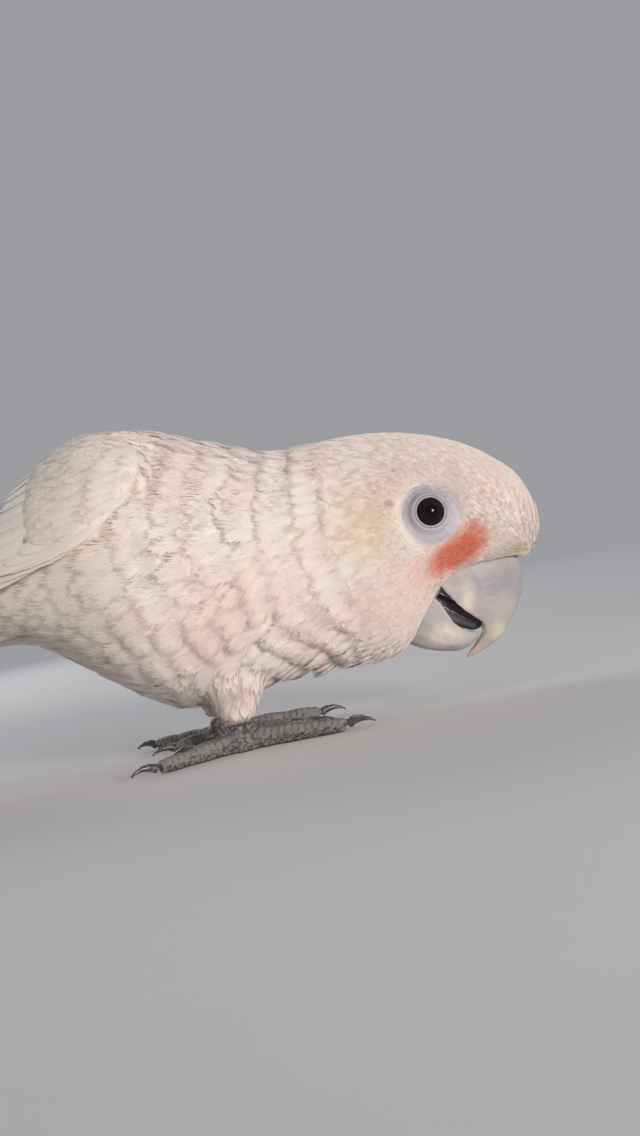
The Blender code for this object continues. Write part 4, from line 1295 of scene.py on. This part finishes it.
BACKDROP = (0.33, 0.335, 0.35)
BLACK = (0.0, 0.0, 0.0)
FLOOR_GREYS = ((0.68, 0.68, 0.69), (0.70, 0.70, 0.71))
HORIZON = (250.0, 1500.0)    # the floor fades into the backdrop from here to here
CAMERA_AIM = (32.4, 0, 42.0)
CAMERA_BACK = 0.34           # metres from the bird's middle plane
CAMERA_ROLL = math.radians(12)


def build_stage():
    """The floor, the backdrop that it fades into, and the even light from all round."""
    floor = bmesh.new()
    bmesh.ops.create_grid(floor, x_segments=8, y_segments=8, size=4000)
    transform(floor, Matrix.Scale(MM, 4))
    mesh = bpy.data.meshes.new("floor")
    floor.to_mesh(mesh)
    floor.free()
    piece = bpy.data.objects.new("floor", mesh)
    bpy.context.scene.collection.objects.link(piece)
    finish = Finish("pale_floor", Roughness=0.8, Specular_IOR_Level=0.0, Emission_Strength=1.0)
    near = finish.mix(*FLOOR_GREYS, finish.noise(60, 3.0))
    reach = finish.node("ShaderNodeVectorMath", {"operation": "LENGTH"}, {0: finish.place}, "Value")
    far = reach.ease(*HORIZON)
    mesh.materials.append(finish.set(Base_Color=finish.mix(near, BLACK, far),
                                     Emission_Color=finish.mix(BLACK, BACKDROP, far)))
    bpy.context.scene.view_settings.view_transform = "Standard"
    world = bpy.data.worlds.new("studio")
    bpy.context.scene.world = world
    world.use_nodes = True
    world.node_tree.nodes["Background"].inputs[0].default_value = (*BACKDROP, 1)
    world.node_tree.nodes["Background"].inputs[1].default_value = 1.0


def add_light(name, place, aim, size, power, colour=(1, 1, 1), spread=180):
    """A soft round lamp that the camera doesn't see."""
    lamp = bpy.data.lights.new(name, "AREA")
    lamp.spread = math.radians(spread)
    lamp.shape, lamp.size, lamp.energy, lamp.color = "DISK", size, power, colour
    light = bpy.data.objects.new(name, lamp)
    light.visible_camera = False
    bpy.context.scene.collection.objects.link(light)
    light.location = place
    light.rotation_mode = "QUATERNION"
    light.rotation_quaternion = (Vector(place) - Vector(aim)).to_track_quat("Z", "Y")


def add_camera():
    """The camera on the bird's right, rolled so that the bird slopes up towards its head."""
    lens = bpy.data.cameras.new("camera")
    lens.lens, lens.sensor_width = 40.0, 36.0
    lens.clip_start = 0.01
    camera = bpy.data.objects.new("camera", lens)
    bpy.context.scene.collection.objects.link(camera)
    right = Vector((math.cos(CAMERA_ROLL), 0, -math.sin(CAMERA_ROLL)))
    up = Vector((math.sin(CAMERA_ROLL), 0, math.cos(CAMERA_ROLL)))
    turn = Matrix((right, up, Vector((0, -1, 0)))).transposed().to_4x4()
    aim = (Vector(STAND) + Vector(CAMERA_AIM)) * MM
    camera.matrix_world = Matrix.Translation(aim + Vector((0, -CAMERA_BACK, 0))) @ turn
    bpy.context.scene.camera = camera


build_stage()
add_light("key", (0.60, -0.85, 0.20), (0.10, -0.01, 0.04), 0.30, 0.48, (1.0, 0.955, 0.91), 40)
add_light("back", (-0.7, 1.0, 0.55), (0.06, 0, 0.05), 0.9, 8.0)
add_camera()
